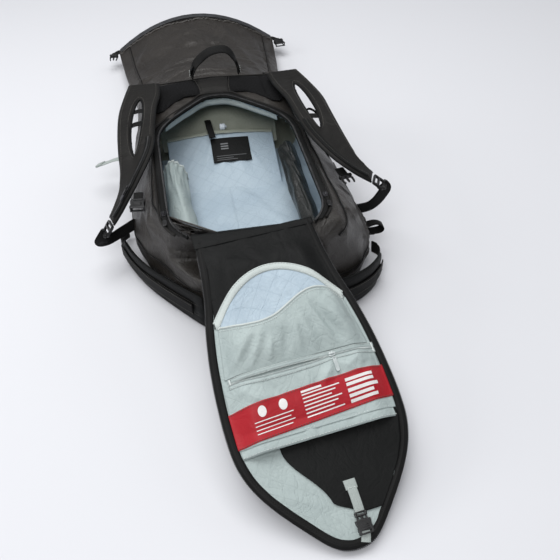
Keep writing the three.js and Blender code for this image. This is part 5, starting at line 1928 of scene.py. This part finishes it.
# %% Padded straps
def make_strap(name):
    side, path, half, forward, across, face = strap_frame(name)
    w = np.sin(np.linspace(-math.pi / 2, math.pi / 2, STRAP_COLUMNS))[None, :]
    flat = path[:, None] + across[:, None] * (w * half[:, None])[..., None]
    to_edge = (1 - np.abs(w)) * half[:, None]
    to_vent = vent_offset(side, flat)
    run = distances(path)[:, None]
    cross_seam = np.abs(run - (268 + w * half[:, None] * 0.5 * -side))
    end = np.minimum(run, run[-1] - run)
    seam = np.minimum.reduce(
        [to_edge, np.maximum(to_vent, 0) + 0 * to_edge, cross_seam * 0.8 + 1.5, end + 0 * to_edge]
    )
    swell = 5.4 * np.sqrt(1 - (1 - np.clip(seam, 0, 9) / 9) ** 2)
    crease = random_folds(16, (-40, 40, 0, 420), 8, 25, 50, 5, 0.9, 71 + side)
    swell = (
        swell + fold_lines(np.stack(np.broadcast_arrays(w * half[:, None], run), -1), crease) * (swell > 2)
    )
    keep_hole = to_vent < 0
    corners = [keep_hole[:-1, :-1], keep_hole[:-1, 1:], keep_hole[1:, 1:], keep_hole[1:, :-1]]
    keep = ~(corners[0] & corners[1] & corners[2] & corners[3])
    swell = np.where(keep_hole, 0, swell)
    layers = []
    for way, thick in ((1, 1.0), (-1, 0.85)):
        grid = flat + face[:, None] * (swell * thick * way)[..., None]
        layers.append(
            cloth_piece(
                "layer", grid[:, ::-1] if way > 0 else grid, "strap_cloth",
                keep=keep[:, ::-1] if way > 0 else keep
            )
        )
    pad = join_pieces(f"shoulder_strap_{name}_pad", layers)
    sealed = bmesh.new()
    sealed.from_mesh(pad.data)
    bmesh.ops.remove_doubles(sealed, verts=sealed.verts, dist=0.00012)
    rim = [v.index for v in sealed.verts if v.is_boundary]
    sealed.to_mesh(pad.data)
    sealed.free()
    low = {tuple(np.round(p, 1)) for p in flat[seam < 1.2].reshape(-1, 3)}
    sewn = set(rim) | {v.index for v in pad.data.vertices if tuple(np.round(np.array(v.co) / MM, 1)) in low}
    blow_up(pad, sorted(sewn), pressure=1.2, cap=1.5, steps=12)
    return pad, (side, path, half, across, face, flat, swell)


def edge_line(path, half, across, face, inset, lift_by, first=0.0, last=1.0, count=200):
    """A line along the strap, inset from its edge. A negative side of half gives the other edge."""
    rows = np.linspace(first, last, count) * (len(path) - 1)
    at = lambda table: np.stack([np.interp(rows, range(len(table)), table[:, k]) for k in range(3)], 1)
    width = np.interp(rows, range(len(path)), np.abs(half)) - inset
    return at(path) + at(across) * (np.sign(half[0]) * width)[:, None] + at(face) * lift_by, at(face)


def vent_ring(side, path, face, grow, lift_by, count=120):
    turn = np.linspace(0, 2 * math.pi, count, endpoint=False)
    slide = np.sin(turn) * (1 + grow / VENT_HALF)
    lean = VENT_LEAN * (1 if side < 0 else 0.3)
    x = side * (VENT_OUT - np.sin(turn) * lean + np.cos(turn) * (VENT_WIDE + grow))
    y = HINGE[1] + VENT_AT + slide * VENT_HALF
    nearest = np.argmin(np.abs(path[None, :, 1] - y[:, None]), 1)
    normal = face[nearest]
    drop = ((x - path[nearest, 0]) * normal[:, 0] + (y - path[nearest, 1]) * normal[:, 1]) / normal[:, 2]
    spot = np.stack([x, y, path[nearest, 2] - drop], 1)
    for _ in range(4):
        spot = (np.roll(spot, 1, 0) + np.roll(spot, -1, 0) + 2 * spot) / 4
    return spot + normal * lift_by, normal


shoulder = {}
for name in ("left", "right"):
    pad, facts = make_strap(name)
    side, path, half, across, face, flat, swell = facts
    body = f"shoulder_strap_{name}"
    settle(pad, body, "shell_cloth", f"shoulder_pad_{name}")
    trims = []
    for way in (-1, 1):
        line, up = edge_line(path, half * way, across, face, 0.6, 0.0, 0.0, 1.0, 240)
        trims.append(swept_piece("binding", line, up, round_section(2.1, 8), "black_cloth"))
        line, up = edge_line(path, half * way, across, face, 6.5, 5.2, 0.02, 0.97)
        trims.append(stitch_row("thread", line, up, "grey_thread"))
    ring, up = vent_ring(side, path, face, 0.0, 0.0)
    trims.append(swept_piece("vent_binding", ring, up, round_section(2.2, 8), "black_cloth", closed=True))
    ring, up = vent_ring(side, path, face, 5.0, 4.6)
    trims.append(stitch_row("thread", ring, up, "grey_thread"))
    for at in (VENT_AT + 52, VENT_AT - 6) if side < 0 else (VENT_AT - 58,):
        row = int(np.argmin(np.abs(path[:, 1] - HINGE[1] - at)))
        middle = side * (VENT_OUT - (at - VENT_AT) / VENT_HALF * VENT_LEAN * (1 if side < 0 else 0.3))
        centre = path[row] + across[row] * ((middle - path[row, 0]) / across[row, 0])
        reach = across[row] * 19
        band = [centre - reach - face[row] * 3.0, centre - face[row] * 1.0, centre + reach - face[row] * 3.0]
        trims.append(strap("vent_web", band, face[row], 8.5, 1.6, "webbing", 14))
    trim = join_pieces(f"{body}_trim", trims)
    settle(trim, body, "webbing")
    shoulder[name] = (side, path, half, across, face)
    print(name, "strap", round(float(distances(path)[-1])), "mm long")

# %% [markdown]
# A zipped channel runs down the inner side of the left strap, to lead a drinking hose. Its coil is glossy,
# and its slider waits near the lower end. The right strap has the same channel closed by a flap, so only its
# edge shows.

# %% Hose channel
for name in ("left", "right"):
    side, path, half, across, face = shoulder[name]
    inner = -1 if np.sign(across[0, 0]) == side else 1
    parts = []
    line, up = edge_line(path, half * inner, across, face, 9.0, 5.9, 0.60, 0.97, 160)
    parts.append(swept_piece("channel_tape", line, up, flat_section(6.0, 1.0, 0.5), "black_cloth"))
    if side < 0:
        parts.append(zip_teeth("channel_teeth", line + up * 1.1, up, "coil_black", 2.0, 1.7, 0.8))
        spot = line[118]
        ahead = unit(line[119] - line[117])
        where = Matrix.Identity(4)
        for row in range(3):
            where[row] = (np.cross(ahead, up[118])[row], ahead[row], up[118][row], spot[row] * MM)
        parts.append(
            moulded("channel_slider", [rounded_box(-4, 4, -6, 6, 3)], 1.2, 4.2, 0.8, "slider_metal", where)
        )
        parts.append(
            moulded(
                "channel_pull", [rounded_box(-2.4, 2.4, -24, -4, 2.2), rounded_box(-1, 1, -21, -16, 0.9)],
                3.2, 5.0, 0.5, "black_plastic", where
            )
        )
    else:
        parts.append(stitch_row("thread", line + up * 1.0, up, "grey_thread"))
    channel = join_pieces(f"shoulder_strap_{name}_channel", parts)
    settle(channel, f"shoulder_strap_{name}", "black_cloth")
print("channels are sewn on")

# %% [markdown]
# ## Buckles and locks
# Webbing hardware is moulded nylon: a ladder lock with two bars at the foot of each strap, side-release
# buckles with sprung arms, and a hollow catch whose side windows show the arms. Each is a few bevelled
# plates.


# %% Ladder locks and side-release buckles
def frame_at(origin, side_way, forward, face_way):
    where = Matrix.Identity(4)
    for row in range(3):
        where[row] = (side_way[row], forward[row], face_way[row], origin[row] * MM)
    return where


def ladder_lock(name, where):
    frame_loop = rounded_box(-17, 17, 3, 27, 4)
    parts = [
        moulded(
            "bars", [frame_loop, rounded_box(-13, 13, 7, 12.5, 1.5), rounded_box(-13, 13, 16.5, 22.5, 1.5)],
            -2.6, 2.6, 1.2, "black_plastic", where
        )
    ]
    parts.append(
        moulded("lever", [rounded_box(-16.5, 16.5, 22.5, 30, 3)], 1.2, 5.6, 1.3, "black_plastic", where)
    )
    for k in range(5):
        y = 23.6 + k * 1.3
        rib = np.array(
            [np.array(where @ Vector((x * MM, y * MM, 5.8 * MM))) / MM for x in np.linspace(-13, 13, 6)]
        )
        parts.append(
            swept_piece(
                "rib", rib, np.array(where.to_3x3() @ Vector((0, 0, 1))), round_section(0.5, 6),
                "black_plastic"
            )
        )
    return join_pieces(name, parts)


def buckle_male(name, where, half, root, tip, low, high, finish="black_plastic"):
    """The half with arms, from its webbing bar at root down to the arms' tips at tip."""
    arm = half * 0.26
    mid = (low + high) / 2
    shoulder_y = root - 7
    left = [
        (-half + 1, shoulder_y + 1), (-half - 0.6, shoulder_y - 5), (-half + 0.2, tip + 6),
        (-half + 1.6, tip), (-half + 1.4 + arm, tip + 1.5), (-half + arm, tip + 7),
        (-half + arm + 0.8, shoulder_y + 1)
    ]
    right = [(-x, y) for x, y in left][::-1]
    parts = [
        moulded(
            "bar",
            [
                rounded_box(-half - 1, half + 1, shoulder_y, root, 2),
                rounded_box(-half + 2, half - 2, root - 4, root - 1.8, 0.8)
            ],
            low, high, 1.0, finish, where
        )
    ]
    for loop in (left, right):
        parts.append(moulded("arm", [loop], mid - 1.6, mid + 1.6, 0.7, finish, where))
    parts.append(
        moulded(
            "guide", [rounded_box(-1.8, 1.8, tip + 3, shoulder_y + 1, 1.2)], mid - 1.4, mid + 1.4, 0.6,
            finish, where
        )
    )
    return join_pieces(name, parts)


def buckle_female(name, where, half, root, mouth, low, high, finish="black_plastic"):
    """The hollow half: two faces, two waisted sides with windows, and a webbing bar."""
    wall = 1.5
    waist = [
        (-half, mouth), (-half, mouth + 4), (-half + 1.6, mouth + 9), (-half + 1.6, root - 11),
        (-half, root - 6), (-half + 2, root), (half - 2, root), (half, root - 6), (half - 1.6, root - 11),
        (half - 1.6, mouth + 9), (half, mouth + 4), (half, mouth)
    ]
    window = rounded_box(-half + 4.5, half - 4.5, mouth + 4, root - 13, 2)
    slot = rounded_box(-half + 3.5, half - 3.5, root - 5, root - 2.4, 1)
    parts = [
        moulded("face", [waist, slot], high - wall - 0.3, high, 0.6, finish, where),
        moulded("face", [waist, slot, window], low, low + wall, 0.5, finish, where),
        moulded(
            "heel", [rounded_box(-half + 1.5, half - 1.5, root - 10, root - 6, 1)], low + 0.6, high - 0.6,
            0.5, finish, where
        ),
    ]
    for side in (-1, 1):
        for y0, y1 in ((mouth + 0.3, mouth + 5), (root - 10, root - 1)):
            x0, x1 = sorted((side * (half - 0.4), side * (half - 2.6)))
            parts.append(
                moulded(
                    "cheek", [rounded_box(x0, x1, y0, y1, 0.8, 3)], low + 0.5, high - 0.5, 0.4, finish, where
                )
            )
    for k in range(3):
        y = mouth + 7 + k * 2.6
        rib = np.array(
            [
                np.array(where @ Vector((x * MM, y * MM, (high + 0.1) * MM))) / MM
                for x in np.linspace(-half + 5, half - 5, 5)
            ]
        )
        parts.append(
            swept_piece(
                "grip", rib, np.array(where.to_3x3() @ Vector((0, 0, 1))), round_section(0.5, 6), finish
            )
        )
    return join_pieces(name, parts)


for name in ("left", "right"):
    side, path, half, across, face = shoulder[name]
    stops = np.array(STRAPS[name], float)
    spots = np.stack([side * stops[:, 0], HINGE[1] + stops[:, 1], stops[:, 2]], 1)
    outward = unit(spots[-1] - spots[-2])
    tilt = unit(np.array([side * STRAP_TILT[name][-1], 0, 1.0]))
    sideways = unit(np.cross(outward, tilt))
    where = frame_at(spots[-1], sideways, outward, np.cross(sideways, outward))
    lock = ladder_lock(f"ladder_lock_{name}_moulding", where)
    settle(lock, f"ladder_lock_{name}", "black_plastic", f"ladder_lock_{name}")

STERNUM = {"left": ((-176, 181, 155), -0.1), "right": ((185.5, 166, 168), 0.2)}
for name, (spot, turn) in STERNUM.items():
    where = (
        Matrix.Translation(((spot[0]) * MM, (HINGE[1] + spot[1]) * MM, spot[2] * MM))
        @ Matrix.Rotation(turn, 4, "Z")
    )
    turned = np.array(where.to_3x3())
    web = (
        np.array([(0, 5, -0.5), (0, -4, -1.4), (0, -12, -1.8), (0, -21, -2)]) @ turned.T
        + np.array(where.translation) / MM
    )
    webbing = strap(f"sternum_{name}_web", web, turned[:, 2], 8.6, 1.8, "webbing", 20)
    settle(webbing, f"sternum_strap_{name}", "webbing", f"sternum_webbing_{name}")
    if name == "left":
        buckle = buckle_female("sternum_buckle_catch", where, 13, -17.5, -42, -7, 3.5)
        settle(buckle, "sternum_strap_left", "black_plastic", "sternum_buckle_female")
    else:
        buckle = buckle_male("sternum_buckle_arms", where, 11, -17.5, -42, -5, 2.4)
        settle(buckle, "sternum_strap_right", "black_plastic", "sternum_buckle_male")
print("locks and sternum buckle are in")

# %% [markdown]
# ## Adjuster and side webbing
# Webbing is woven flat, so it bends easily one way and hardly the other. Each strap is a thin ribbed band
# along a short path, and the side straps have a folded and sewn end. The adjusters run from the pack's side
# up into the ladder locks.


# %% Adjuster webbing
def at_distance(points):
    """Points given as x, distance from the hinge and z, in the pack's own frame."""
    return np.array([(x, HINGE[1] + d, z) for x, d, z in points], float)


def folded_end(name, points, up, half, thick, finish, lead=10):
    """A strap whose last stretch is doubled over and sewn with a bar of thread."""
    path = curve_through(at_distance(points), 48)
    if np.ndim(up) == 2:
        stops = np.linspace(0, len(up) - 1, 48)
        up = np.stack([np.interp(stops, range(len(up)), np.array(up, float)[:, k]) for k in range(3)], 1)
    web = swept_piece(name, path, up, flat_section(half, thick, 0.3), finish)
    forward, side, face = sweep_frames(path, up)
    tail = path[-lead:] + face[-lead:] * thick
    tail_up = up[-lead:] if np.ndim(up) == 2 else up
    parts = [web, swept_piece("fold", tail, tail_up, flat_section(half * 0.97, thick * 0.9, 0.2), finish)]
    row = len(path) - lead + 2
    bar = np.array(
        [path[row] + side[row] * half * t + face[row] * thick * 1.6 for t in np.linspace(-0.75, 0.75, 8)]
    )
    parts.append(stitch_row("thread", bar, face[row], "grey_thread", 2.0, 0.6))
    return join_pieces(name, parts)


ADJUSTERS = {
    "left": (
        [
            (-190, 208, 72), (-213, 201, 64), (-230, 193, 60), (-247, 182, 59), (-257, 172, 65),
            (-252, 171, 75), (-244, 176, 84)
        ],
        (-0.2, -1, 0.4)
    ),
    "right": (
        [(208, 150, 86), (236, 146, 92), (250, 143, 104), (259, 139, 122), (263, 136, 137), (257, 139, 146)],
        (0.2, -1, 0.4)
    ),
}
for name, (points, up) in ADJUSTERS.items():
    path = at_distance(points)
    adjuster = strap(f"adjuster_{name}", path, (0, 1, 0), 11.5, 1.9, "webbing", 60)
    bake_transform(adjuster)
    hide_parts(f"adjuster_webbing_{name}")

# %% Side straps, their loop and the elastic
upper_left = folded_end(
    "side_strap_left", [(-190, 414, 72), (-204, 417, 78), (-222, 424, 76), (-244, 431, 66), (-264, 438, 56)],
    (0, 0.2, 1), 9.5, 2.0, "grey_webbing"
)
settle(upper_left, "pack", "grey_webbing", "side_strap_upper_left")
upper_right = folded_end(
    "side_strap_right", [(196, 424, 58), (206, 400, 61), (214, 352, 62), (218, 310, 61)], (1, 0, 0.1), 9.5,
    2.0, "webbing"
)
settle(upper_right, "pack", "webbing", "side_strap_upper_right")
lower_right = folded_end(
    "side_loop_right",
    [(220, 119, 70), (242, 115, 78), (254, 112, 75), (257, 112, 67), (249, 114, 60), (228, 118, 57)],
    [(0, 0, 1), (0.2, 0, 1), (0.8, 0, 0.6), (1, 0, -0.2), (0.3, 0, -1), (0, 0, -1)], 9.5, 2.0, "webbing"
)
settle(lower_right, "pack", "webbing", "side_strap_lower_right")
elastic_path = curve_through(
    at_distance([(178, 436, 134), (190, 438, 138), (204, 420, 132), (206, 392, 118), (196, 376, 106)]), 50
)
elastic = swept_piece("pole_elastic", elastic_path, (0, 0, 1), round_section(2.4, 12), "black_thread")
settle(elastic, "pack", "webbing", "pole_loop")
print("side webbing is in")

# %% [markdown]
# ## Hip belt
# The belt's middle is sewn across the bottom end, and the wings stand on the floor beside the bag. Each is a
# padded band, so it is a flat oval section swept along its path, and air in a cloth simulation rounds it
# between two quilting seams.


# %% Padded bands
def padded_band(name, spots, halves, up, thick, finish, count, pressure, cap, quilts=(-0.34, 0.34)):
    path = curve_through(np.hstack([spots, np.array(halves, float)[:, None]]), count)
    if np.ndim(up) == 2:
        up = np.stack(
            [np.interp(np.linspace(0, len(up) - 1, count), range(len(up)), up[:, k]) for k in range(3)], 1
        )
    turns = np.linspace(0, 2 * math.pi, 44, endpoint=False)
    shape = np.stack([np.cos(turns), np.sign(np.sin(turns)) * np.abs(np.sin(turns)) ** 0.55], 1)
    dip = np.ones(len(turns))
    for q in quilts:
        dip -= 0.5 * np.exp(-(((shape[:, 0] - q) / 0.07) ** 2))
    shape[:, 1] *= dip * thick / 2
    ends = np.minimum(np.arange(count), np.arange(count)[::-1])
    pinch = np.sqrt(1 - (1 - np.clip(ends / 5, 0.02, 1)) ** 2)
    scale = np.stack([path[:, 3] * (0.9 + 0.1 * pinch), pinch], 1)
    band = swept_piece(name, path[:, :3], up, shape, finish, scale)
    seam_columns = [
        k for k in range(len(turns))
        if abs(shape[k, 1]) < 0.35 * thick / 2 * 1.2 or min(abs(shape[k, 0] - q) for q in quilts) < 0.05
    ]
    sewn = [
        row * len(turns) + k for row in range(count) for k in range(len(turns))
        if k in seam_columns or row < 2 or row > count - 3
    ]
    blow_up(band, sewn, pressure=pressure, cap=cap, steps=12)
    return band, path, up


BODY_START = HINGE[1] - 12
lumbar_spots = np.array(
    [(-84, BODY_START - 8.4, 62), (0, BODY_START - 11.4, 62), (100, BODY_START - 8.4, 62)]
)
belt, _, _ = padded_band(
    "hip_belt_back", lumbar_spots, (37, 37, 37), (0, -1, 0), 9, "mesh_foam", 60, 1.2, 1.5
)
settle(belt, "pack", "mesh_foam", "hip_belt_centre")

WINGS = {
    "left": [
        (-86, -14, 36), (-115, 22, 33), (-144, 60, 30), (-172, 100, 28), (-196, 146, 26), (-213, 196, 23)
    ],
    "right": [(112, -14, 38), (158, -8, 36), (194, 10, 34), (218, 32, 32), (232, 56, 28)],
}
TAILS = {
    "left": [(-219, 196, 24), (-224, 212, 23), (-225, 228, 20), (-219, 244, 17), (-211, 255, 15)],
    "right": [(236, 58, 30), (243, 72, 29), (248, 90, 26), (247, 104, 22), (241, 115, 20)],
}
for name, stops in WINGS.items():
    foot = at_distance([(x, d, 0) for x, d, _ in stops])
    halves = [half - 1 for _, _, half in stops]
    ahead = unit(np.gradient(foot, axis=0))
    outward = unit(np.cross(ahead, (0, 0, -1 if name == "left" else 1)))
    centre = foot + outward * 5.0 + np.array([[0, 0, half + 3] for half in halves])
    wing, path, up = padded_band(
        f"hip_wing_{name}_pad", centre, halves, outward, 9.4, "black_cloth", 90, 1.2, 1.4
    )
    settle(wing, f"hip_wing_{name}", "black_cloth", f"hip_wing_{name}")
    forward, side, face = sweep_frames(path[:, :3], up)
    trims = []
    for q in (-0.34, 0.34):
        trims.append(
            stitch_row(
                "thread", (path[:, :3] + side * (path[:, 3:] * q) + face * 3.0)[4:-4], face[4:-4],
                "grey_thread"
            )
        )
    belt_line = (path[:, :3] + face * 6.2)[8:]
    trims.append(swept_piece("belt_web", belt_line, face[8:], flat_section(12, 1.8, 0.3), "webbing"))
    for q in (-9.6, 9.6):
        trims.append(stitch_row("thread", belt_line + side[8:] * q + face[8:] * 1.2, face[8:], "grey_thread"))
    trim = join_pieces(f"hip_wing_{name}_trim", trims)
    settle(trim, f"hip_wing_{name}", "webbing")
    tail = folded_end(
        f"hip_tail_{name}", TAILS[name], (-1 if name == "left" else 1, 0.2, 0), 12, 2.0, "webbing"
    )
    settle(tail, f"hip_wing_{name}", "webbing", f"hip_webbing_{name}")
print("hip belt is in")

# %% [markdown]
# ## Roll-top
# The roll-top is a flat tube of shell cloth that is rolled down and clipped to close. Here it lies open on
# the floor: its lower sheet is flat, its upper one arches and creases where it was rolled. It bends at the
# roll line. A stitched hem with puckers goes round its mouth.

# %% Roll-top tube
ROLL_STOPS = np.array([  # distance from the hinge, half width, height of the side edge, height of the crown
    (596, 157, 97, 148), (660, 166, 78, 142), (740, 179, 54, 124), (850, 194, 40, 112),
    (940, 203, 37, 108), (1015, 210, 36, 106),
], float)
MOUTH_BOW = 26
roll_folds = [
    ((-176, 770), (-40, 706), 9, 4.6), ((-186, 905), (-96, 742), 9, -4.4), (
        (-150, 640), (-24, 688), 8, 3.8
    ), ((-96, 742), (-10, 770), 10, 3.2),
    ((60, 985), (146, 640), 10, 2.6), ((158, 975), (160, 630), 5, -3.0), ((-70, 960), (60, 730), 14, 2.6), (
        (-120, 620), (120, 626), 7, -3.4
    ),
    ((-168, 840), (-120, 960), 8, 2.8), ((20, 640), (110, 700), 8, 3.2), ((100, 760), (186, 720), 8, 2.6), (
        (-60, 655), (40, 648), 6, 3.0
    ),
]
roll_folds += random_folds(22, (-190, 190, 610, 1000), 60, 70, 110, 8, 2.2, 91)


def roll_shape(d, t, upper, swell=0.0):
    """A point of the roll-top at a distance and a share across, from -1 to 1."""
    half, edge, crown = (np.interp(d, ROLL_STOPS[:, 0], ROLL_STOPS[:, k]) for k in (1, 2, 3))
    arched = 1 - t**2
    x = t * half
    flat = np.stack(np.broadcast_arrays(x, d + 0 * x), -1)
    if upper:
        z = edge + (crown - edge) * arched
        z = (
            z
            + (
                fold_lines(flat, roll_folds) + noise_at(flat[..., 0], flat[..., 1], 46, 92) * 2.4
                + noise_at(flat[..., 0], flat[..., 1], 15, 93) * 0.5
            ) * np.clip(arched * 5, 0, 1)
        )
    else:
        z = np.minimum(3.2 + 12 * np.abs(t) ** 6, edge + (crown - edge) * arched - 1)
        z = z + np.abs(noise_at(flat[..., 0], flat[..., 1], 50, 94)) * 1.6
    y = HINGE[1] + d + MOUTH_BOW * arched * ease(d, 880, 1015) * (1.0 if upper else 0.0)
    return np.stack(np.broadcast_arrays(x, y, z + swell), -1)


d = np.linspace(597, 1015, 150)[:, None]
over = roll_shape(d, np.linspace(-1, 1, 130)[None, :], True)
below = roll_shape(d, np.linspace(1, -1, 90)[None, 1:-1].reshape(1, -1), False)
roll_grid = np.concatenate([over, below], 1)
roll = cloth_piece("rolltop_tube", roll_grid, "shell_cloth", wrap=True, thick=1.4)
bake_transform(roll)
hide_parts("rolltop_collar", "rolltop_mouth")

rows = []
for back, lift_by in ((0.8, -1.2), (1.2, 0.8), (-6, 2.0), (-14, 1.2), (-22, 3.2), (-27, 2.0), (-28.4, 0.0)):
    d = np.array([[1015.0 + back]])
    ring = np.concatenate(
        [
            roll_shape(d, np.linspace(-1, 1, 180)[None, :], True, lift_by),
            roll_shape(d, np.linspace(1, -1, 120)[None, 1:-1], False, -lift_by * 0.6)
        ],
        1
    )[0]
    pucker = (
        np.sin(np.arange(len(ring)) * 0.9 + np.sin(np.arange(len(ring)) * 0.37) * 2)
        * (1.0 if back < -20 else 0.4)
    )
    ring[:, 2] += pucker
    rows.append(ring)
hem = cloth_piece("rolltop_hem", np.stack(rows[::-1]), "shell_cloth", wrap=True, thick=0.9)
thread_line = roll_shape(np.array([[990.5]]), np.linspace(-0.97, 0.97, 200)[None, :], True, 2.2)[0]
hem = join_pieces("rolltop_hem", [hem, stitch_row("thread", thread_line, (0, 0, 1), "black_thread")])
settle(hem, "rolltop_end", "shell_cloth")
stiffener = frame["nodes"]["rolltop_stiffener"]
stiffener.data.materials.clear()
stiffener.data.materials.append(finishes["board_plastic"])
edge_parts = []
for side in (-1, 1):
    t = side * 0.86
    line = roll_shape(np.linspace(604, 1000, 160)[:, None], np.array([[t]]), True, 0.5)[:, 0]
    edge_parts.append(swept_piece("seam", line, (0, 0, 1), round_section(1.1, 8), "black_cloth"))
    edge_parts.append(stitch_row("thread", line + np.array([side * 4, 0, -0.8]), (0, 0, 1), "black_thread"))
roll_seams = join_pieces("rolltop_seams", edge_parts)
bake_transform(roll_seams)
print("roll-top", len(roll.data.polygons), "faces")

# %% Roll-top buckle, on both ends of the hem
for side, body in ((-1, "rolltop_buckle_male"), (1, "rolltop_buckle_female")):
    where = (
        Matrix.Translation((side * 223 * MM, (HINGE[1] + 1001) * MM, 34 * MM))
        @ Matrix.Rotation(side * 0.1, 4, "Z")
    )
    make = buckle_male if side < 0 else buckle_female
    half, low_end, depth = (10, -34, 4) if side < 0 else (13, -32, 5)
    clip = make(f"{body}_moulding", where, half, -4, low_end, -depth, depth)
    settle(clip, body, "black_plastic", body)
    tab_at = [
        (side * 196, 1012, 37), (side * 209, 1008, 37.5), (side * 219, 1002, 35), (side * 222, 996, 34.5)
    ]
    tab = folded_end(f"{body}_tab", tab_at, (0, 0, 1), 8.5, 1.8, "webbing")
    settle(tab, "rolltop_end", "webbing")
print("roll-top buckle is in")

# %% [markdown]
# ## Zip sliders and pulls
# A slider is a cast body with a bridge over it, and the pull swings on the bridge. The big zip's pulls are
# cord in a moulded grip, and the small pocket's pull is a plain cast tag.


# %% Sliders
def slider_body(name, where, half, length, high, finish):
    nose = [
        (-half * 0.55, -length), (half * 0.55, -length), (half, -length * 0.2), (half, length * 0.6),
        (half * 0.5, length), (0, length * 0.55), (-half * 0.5, length), (-half, length * 0.6),
        (-half, -length * 0.2)
    ]
    parts = [
        moulded("cap", [nose], high * 0.62, high, 0.3, finish, where),
        moulded("sole", [nose], 0.1, high * 0.3, 0.2, finish, where)
    ]
    bridge = np.array(
        [
            (0, y, z) for y,
            z in (
                (-length * 0.55, high), (-length * 0.4, high + 1.6), (length * 0.2, high + 1.9),
                (length * 0.45, high + 0.2)
            )
        ],
        float
    )
    turned = np.array(where.to_3x3())
    bridge = curve_through(bridge, 16) @ turned.T + np.array(where.translation) / MM
    parts.append(swept_piece("bridge", bridge, turned[:, 2], round_section(1.0, 8), finish))
    return join_pieces(name, parts)


def pull_tag(name, where, half, near, far, low, high, finish, grip=None):
    hole = rounded_box(-half * 0.45, half * 0.45, near - 3.4, near - 1.4, 0.5)
    parts = [
        moulded(
            "tag", [rounded_box(-half, half, far, near, half * 0.8), hole], low, high, (high - low) * 0.3,
            finish, where
        )
    ]
    if grip:
        parts.append(
            moulded(
                "grip", [rounded_box(-half - 0.7, half + 0.7, far - 0.4, far + 15, half)], low - 0.5,
                high + 0.7, 0.7, grip, where
            )
        )
    return join_pieces(name, parts)


SLIDER_AT = 70
for side, name in ((-1, "left"), (1, "right")):
    spot = on_back(side * (float(opening_half(SLIDER_AT)) + 6), SLIDER_AT, 2.6)
    where = frame_at(spot, ACROSS, RISE, OUT)
    slider = slider_body(f"zip_slider_{name}", where, 4.4, 7, 3.0, "slider_metal")
    settle(slider, f"main_slider_{name}", "slider_metal", f"main_slider_{name}")
    pull = pull_tag(f"zip_pull_{name}", where, 2.6, -7.6, -35.5, 1.1, 3.1, "webbing", "black_plastic")
    settle(pull, f"main_pull_{name}", "webbing", f"main_pull_{name}")

panel_where = frame_at(HINGE, panel_turn[:, 0], panel_turn[:, 1], panel_turn[:, 2])
tag_at = panel_where @ Matrix.Translation((SLIDER_X * MM, -ZIP_AT * MM, 18.8 * MM))
pocket_slider = slider_body(
    "pocket_zip_slider", tag_at @ Matrix.Translation((0, 0, 0.0052)) @ Matrix.Rotation(math.pi / 2, 4, "Z"),
    3.6, 5, 3.0, "pale_metal"
)
settle(pocket_slider, "pocket_slider", "grey_webbing", "pocket_slider")
pocket_tag = pull_tag("pocket_zip_pull", tag_at, 2.8, -5.6, -28, 10.4, 12.2, "pale_metal")
settle(pocket_tag, "pocket_pull", "grey_webbing", "pocket_pull")
print("sliders are in")

# %% [markdown]
# ## Hanger for the bladder
# A short webbing with a small buckle is sewn near the panel's tip, and the bladder's bar hangs from it.

# %% Hanger
HANG_X = 15


def panel_strap(name, points, half, thick, finish):
    path = np.array([on_panel(x, d, z) for x, d, z in points])
    return strap(name, path, panel_turn[:, 2], half, thick, finish, 36)


hang_web = panel_strap(
    "hang", [(HANG_X, 414, 6.4), (HANG_X, 426, 8.6), (HANG_X, 440, 8.8), (HANG_X, 452, 7.6)], 6.8, 1.6,
    "grey_webbing"
)
hang_patch = panel_strap(
    "patch", [(HANG_X, 408, 6.1), (HANG_X, 414, 6.8), (HANG_X, 421, 7.2)], 8.6, 1.6, "grey_webbing"
)
box_threads = [
    stitch_row(
        "thread",
        np.array([on_panel(HANG_X + a * 6, 410 + 5 * (1 - a * b), 8.6), on_panel(HANG_X + b * 6, 419, 8.9)]),
        panel_turn[:, 2], "pale_thread", 2, 0.8
    ) for a,
    b in ((-1, 1), (1, -1))
]
hanger = join_pieces("hanger_strap_web", [hang_web, hang_patch] + box_threads)
settle(hanger, "hanger_strap", "grey_webbing", "hanger_webbing")
at_hanger = panel_where @ Matrix.Translation((HANG_X * MM, 0, 0.0035))
hanger_male = buckle_male("hanger_arms", at_hanger, 7.6, -451, -473, 1.2, 6.6)
settle(hanger_male, "hanger_strap", "black_plastic", "hanger_buckle_male")
hanger_female = buckle_female(
    "hanger_catch", at_hanger @ Matrix.Rotation(math.pi, 4, "Z"), 10.6, 481, 462, 0.2, 7.2
)
tip_tab = panel_strap(
    "tip_tab", [(HANG_X - 1, 476, 7.4), (HANG_X - 2, 482, 6.2), (HANG_X - 5, 490, 5.4)], 6.4, 1.6,
    "grey_webbing"
)
settle(hanger_female, "back_panel", "black_plastic", "hanger_buckle_female")
settle(tip_tab, "back_panel", "grey_webbing")
print("hanger is in")
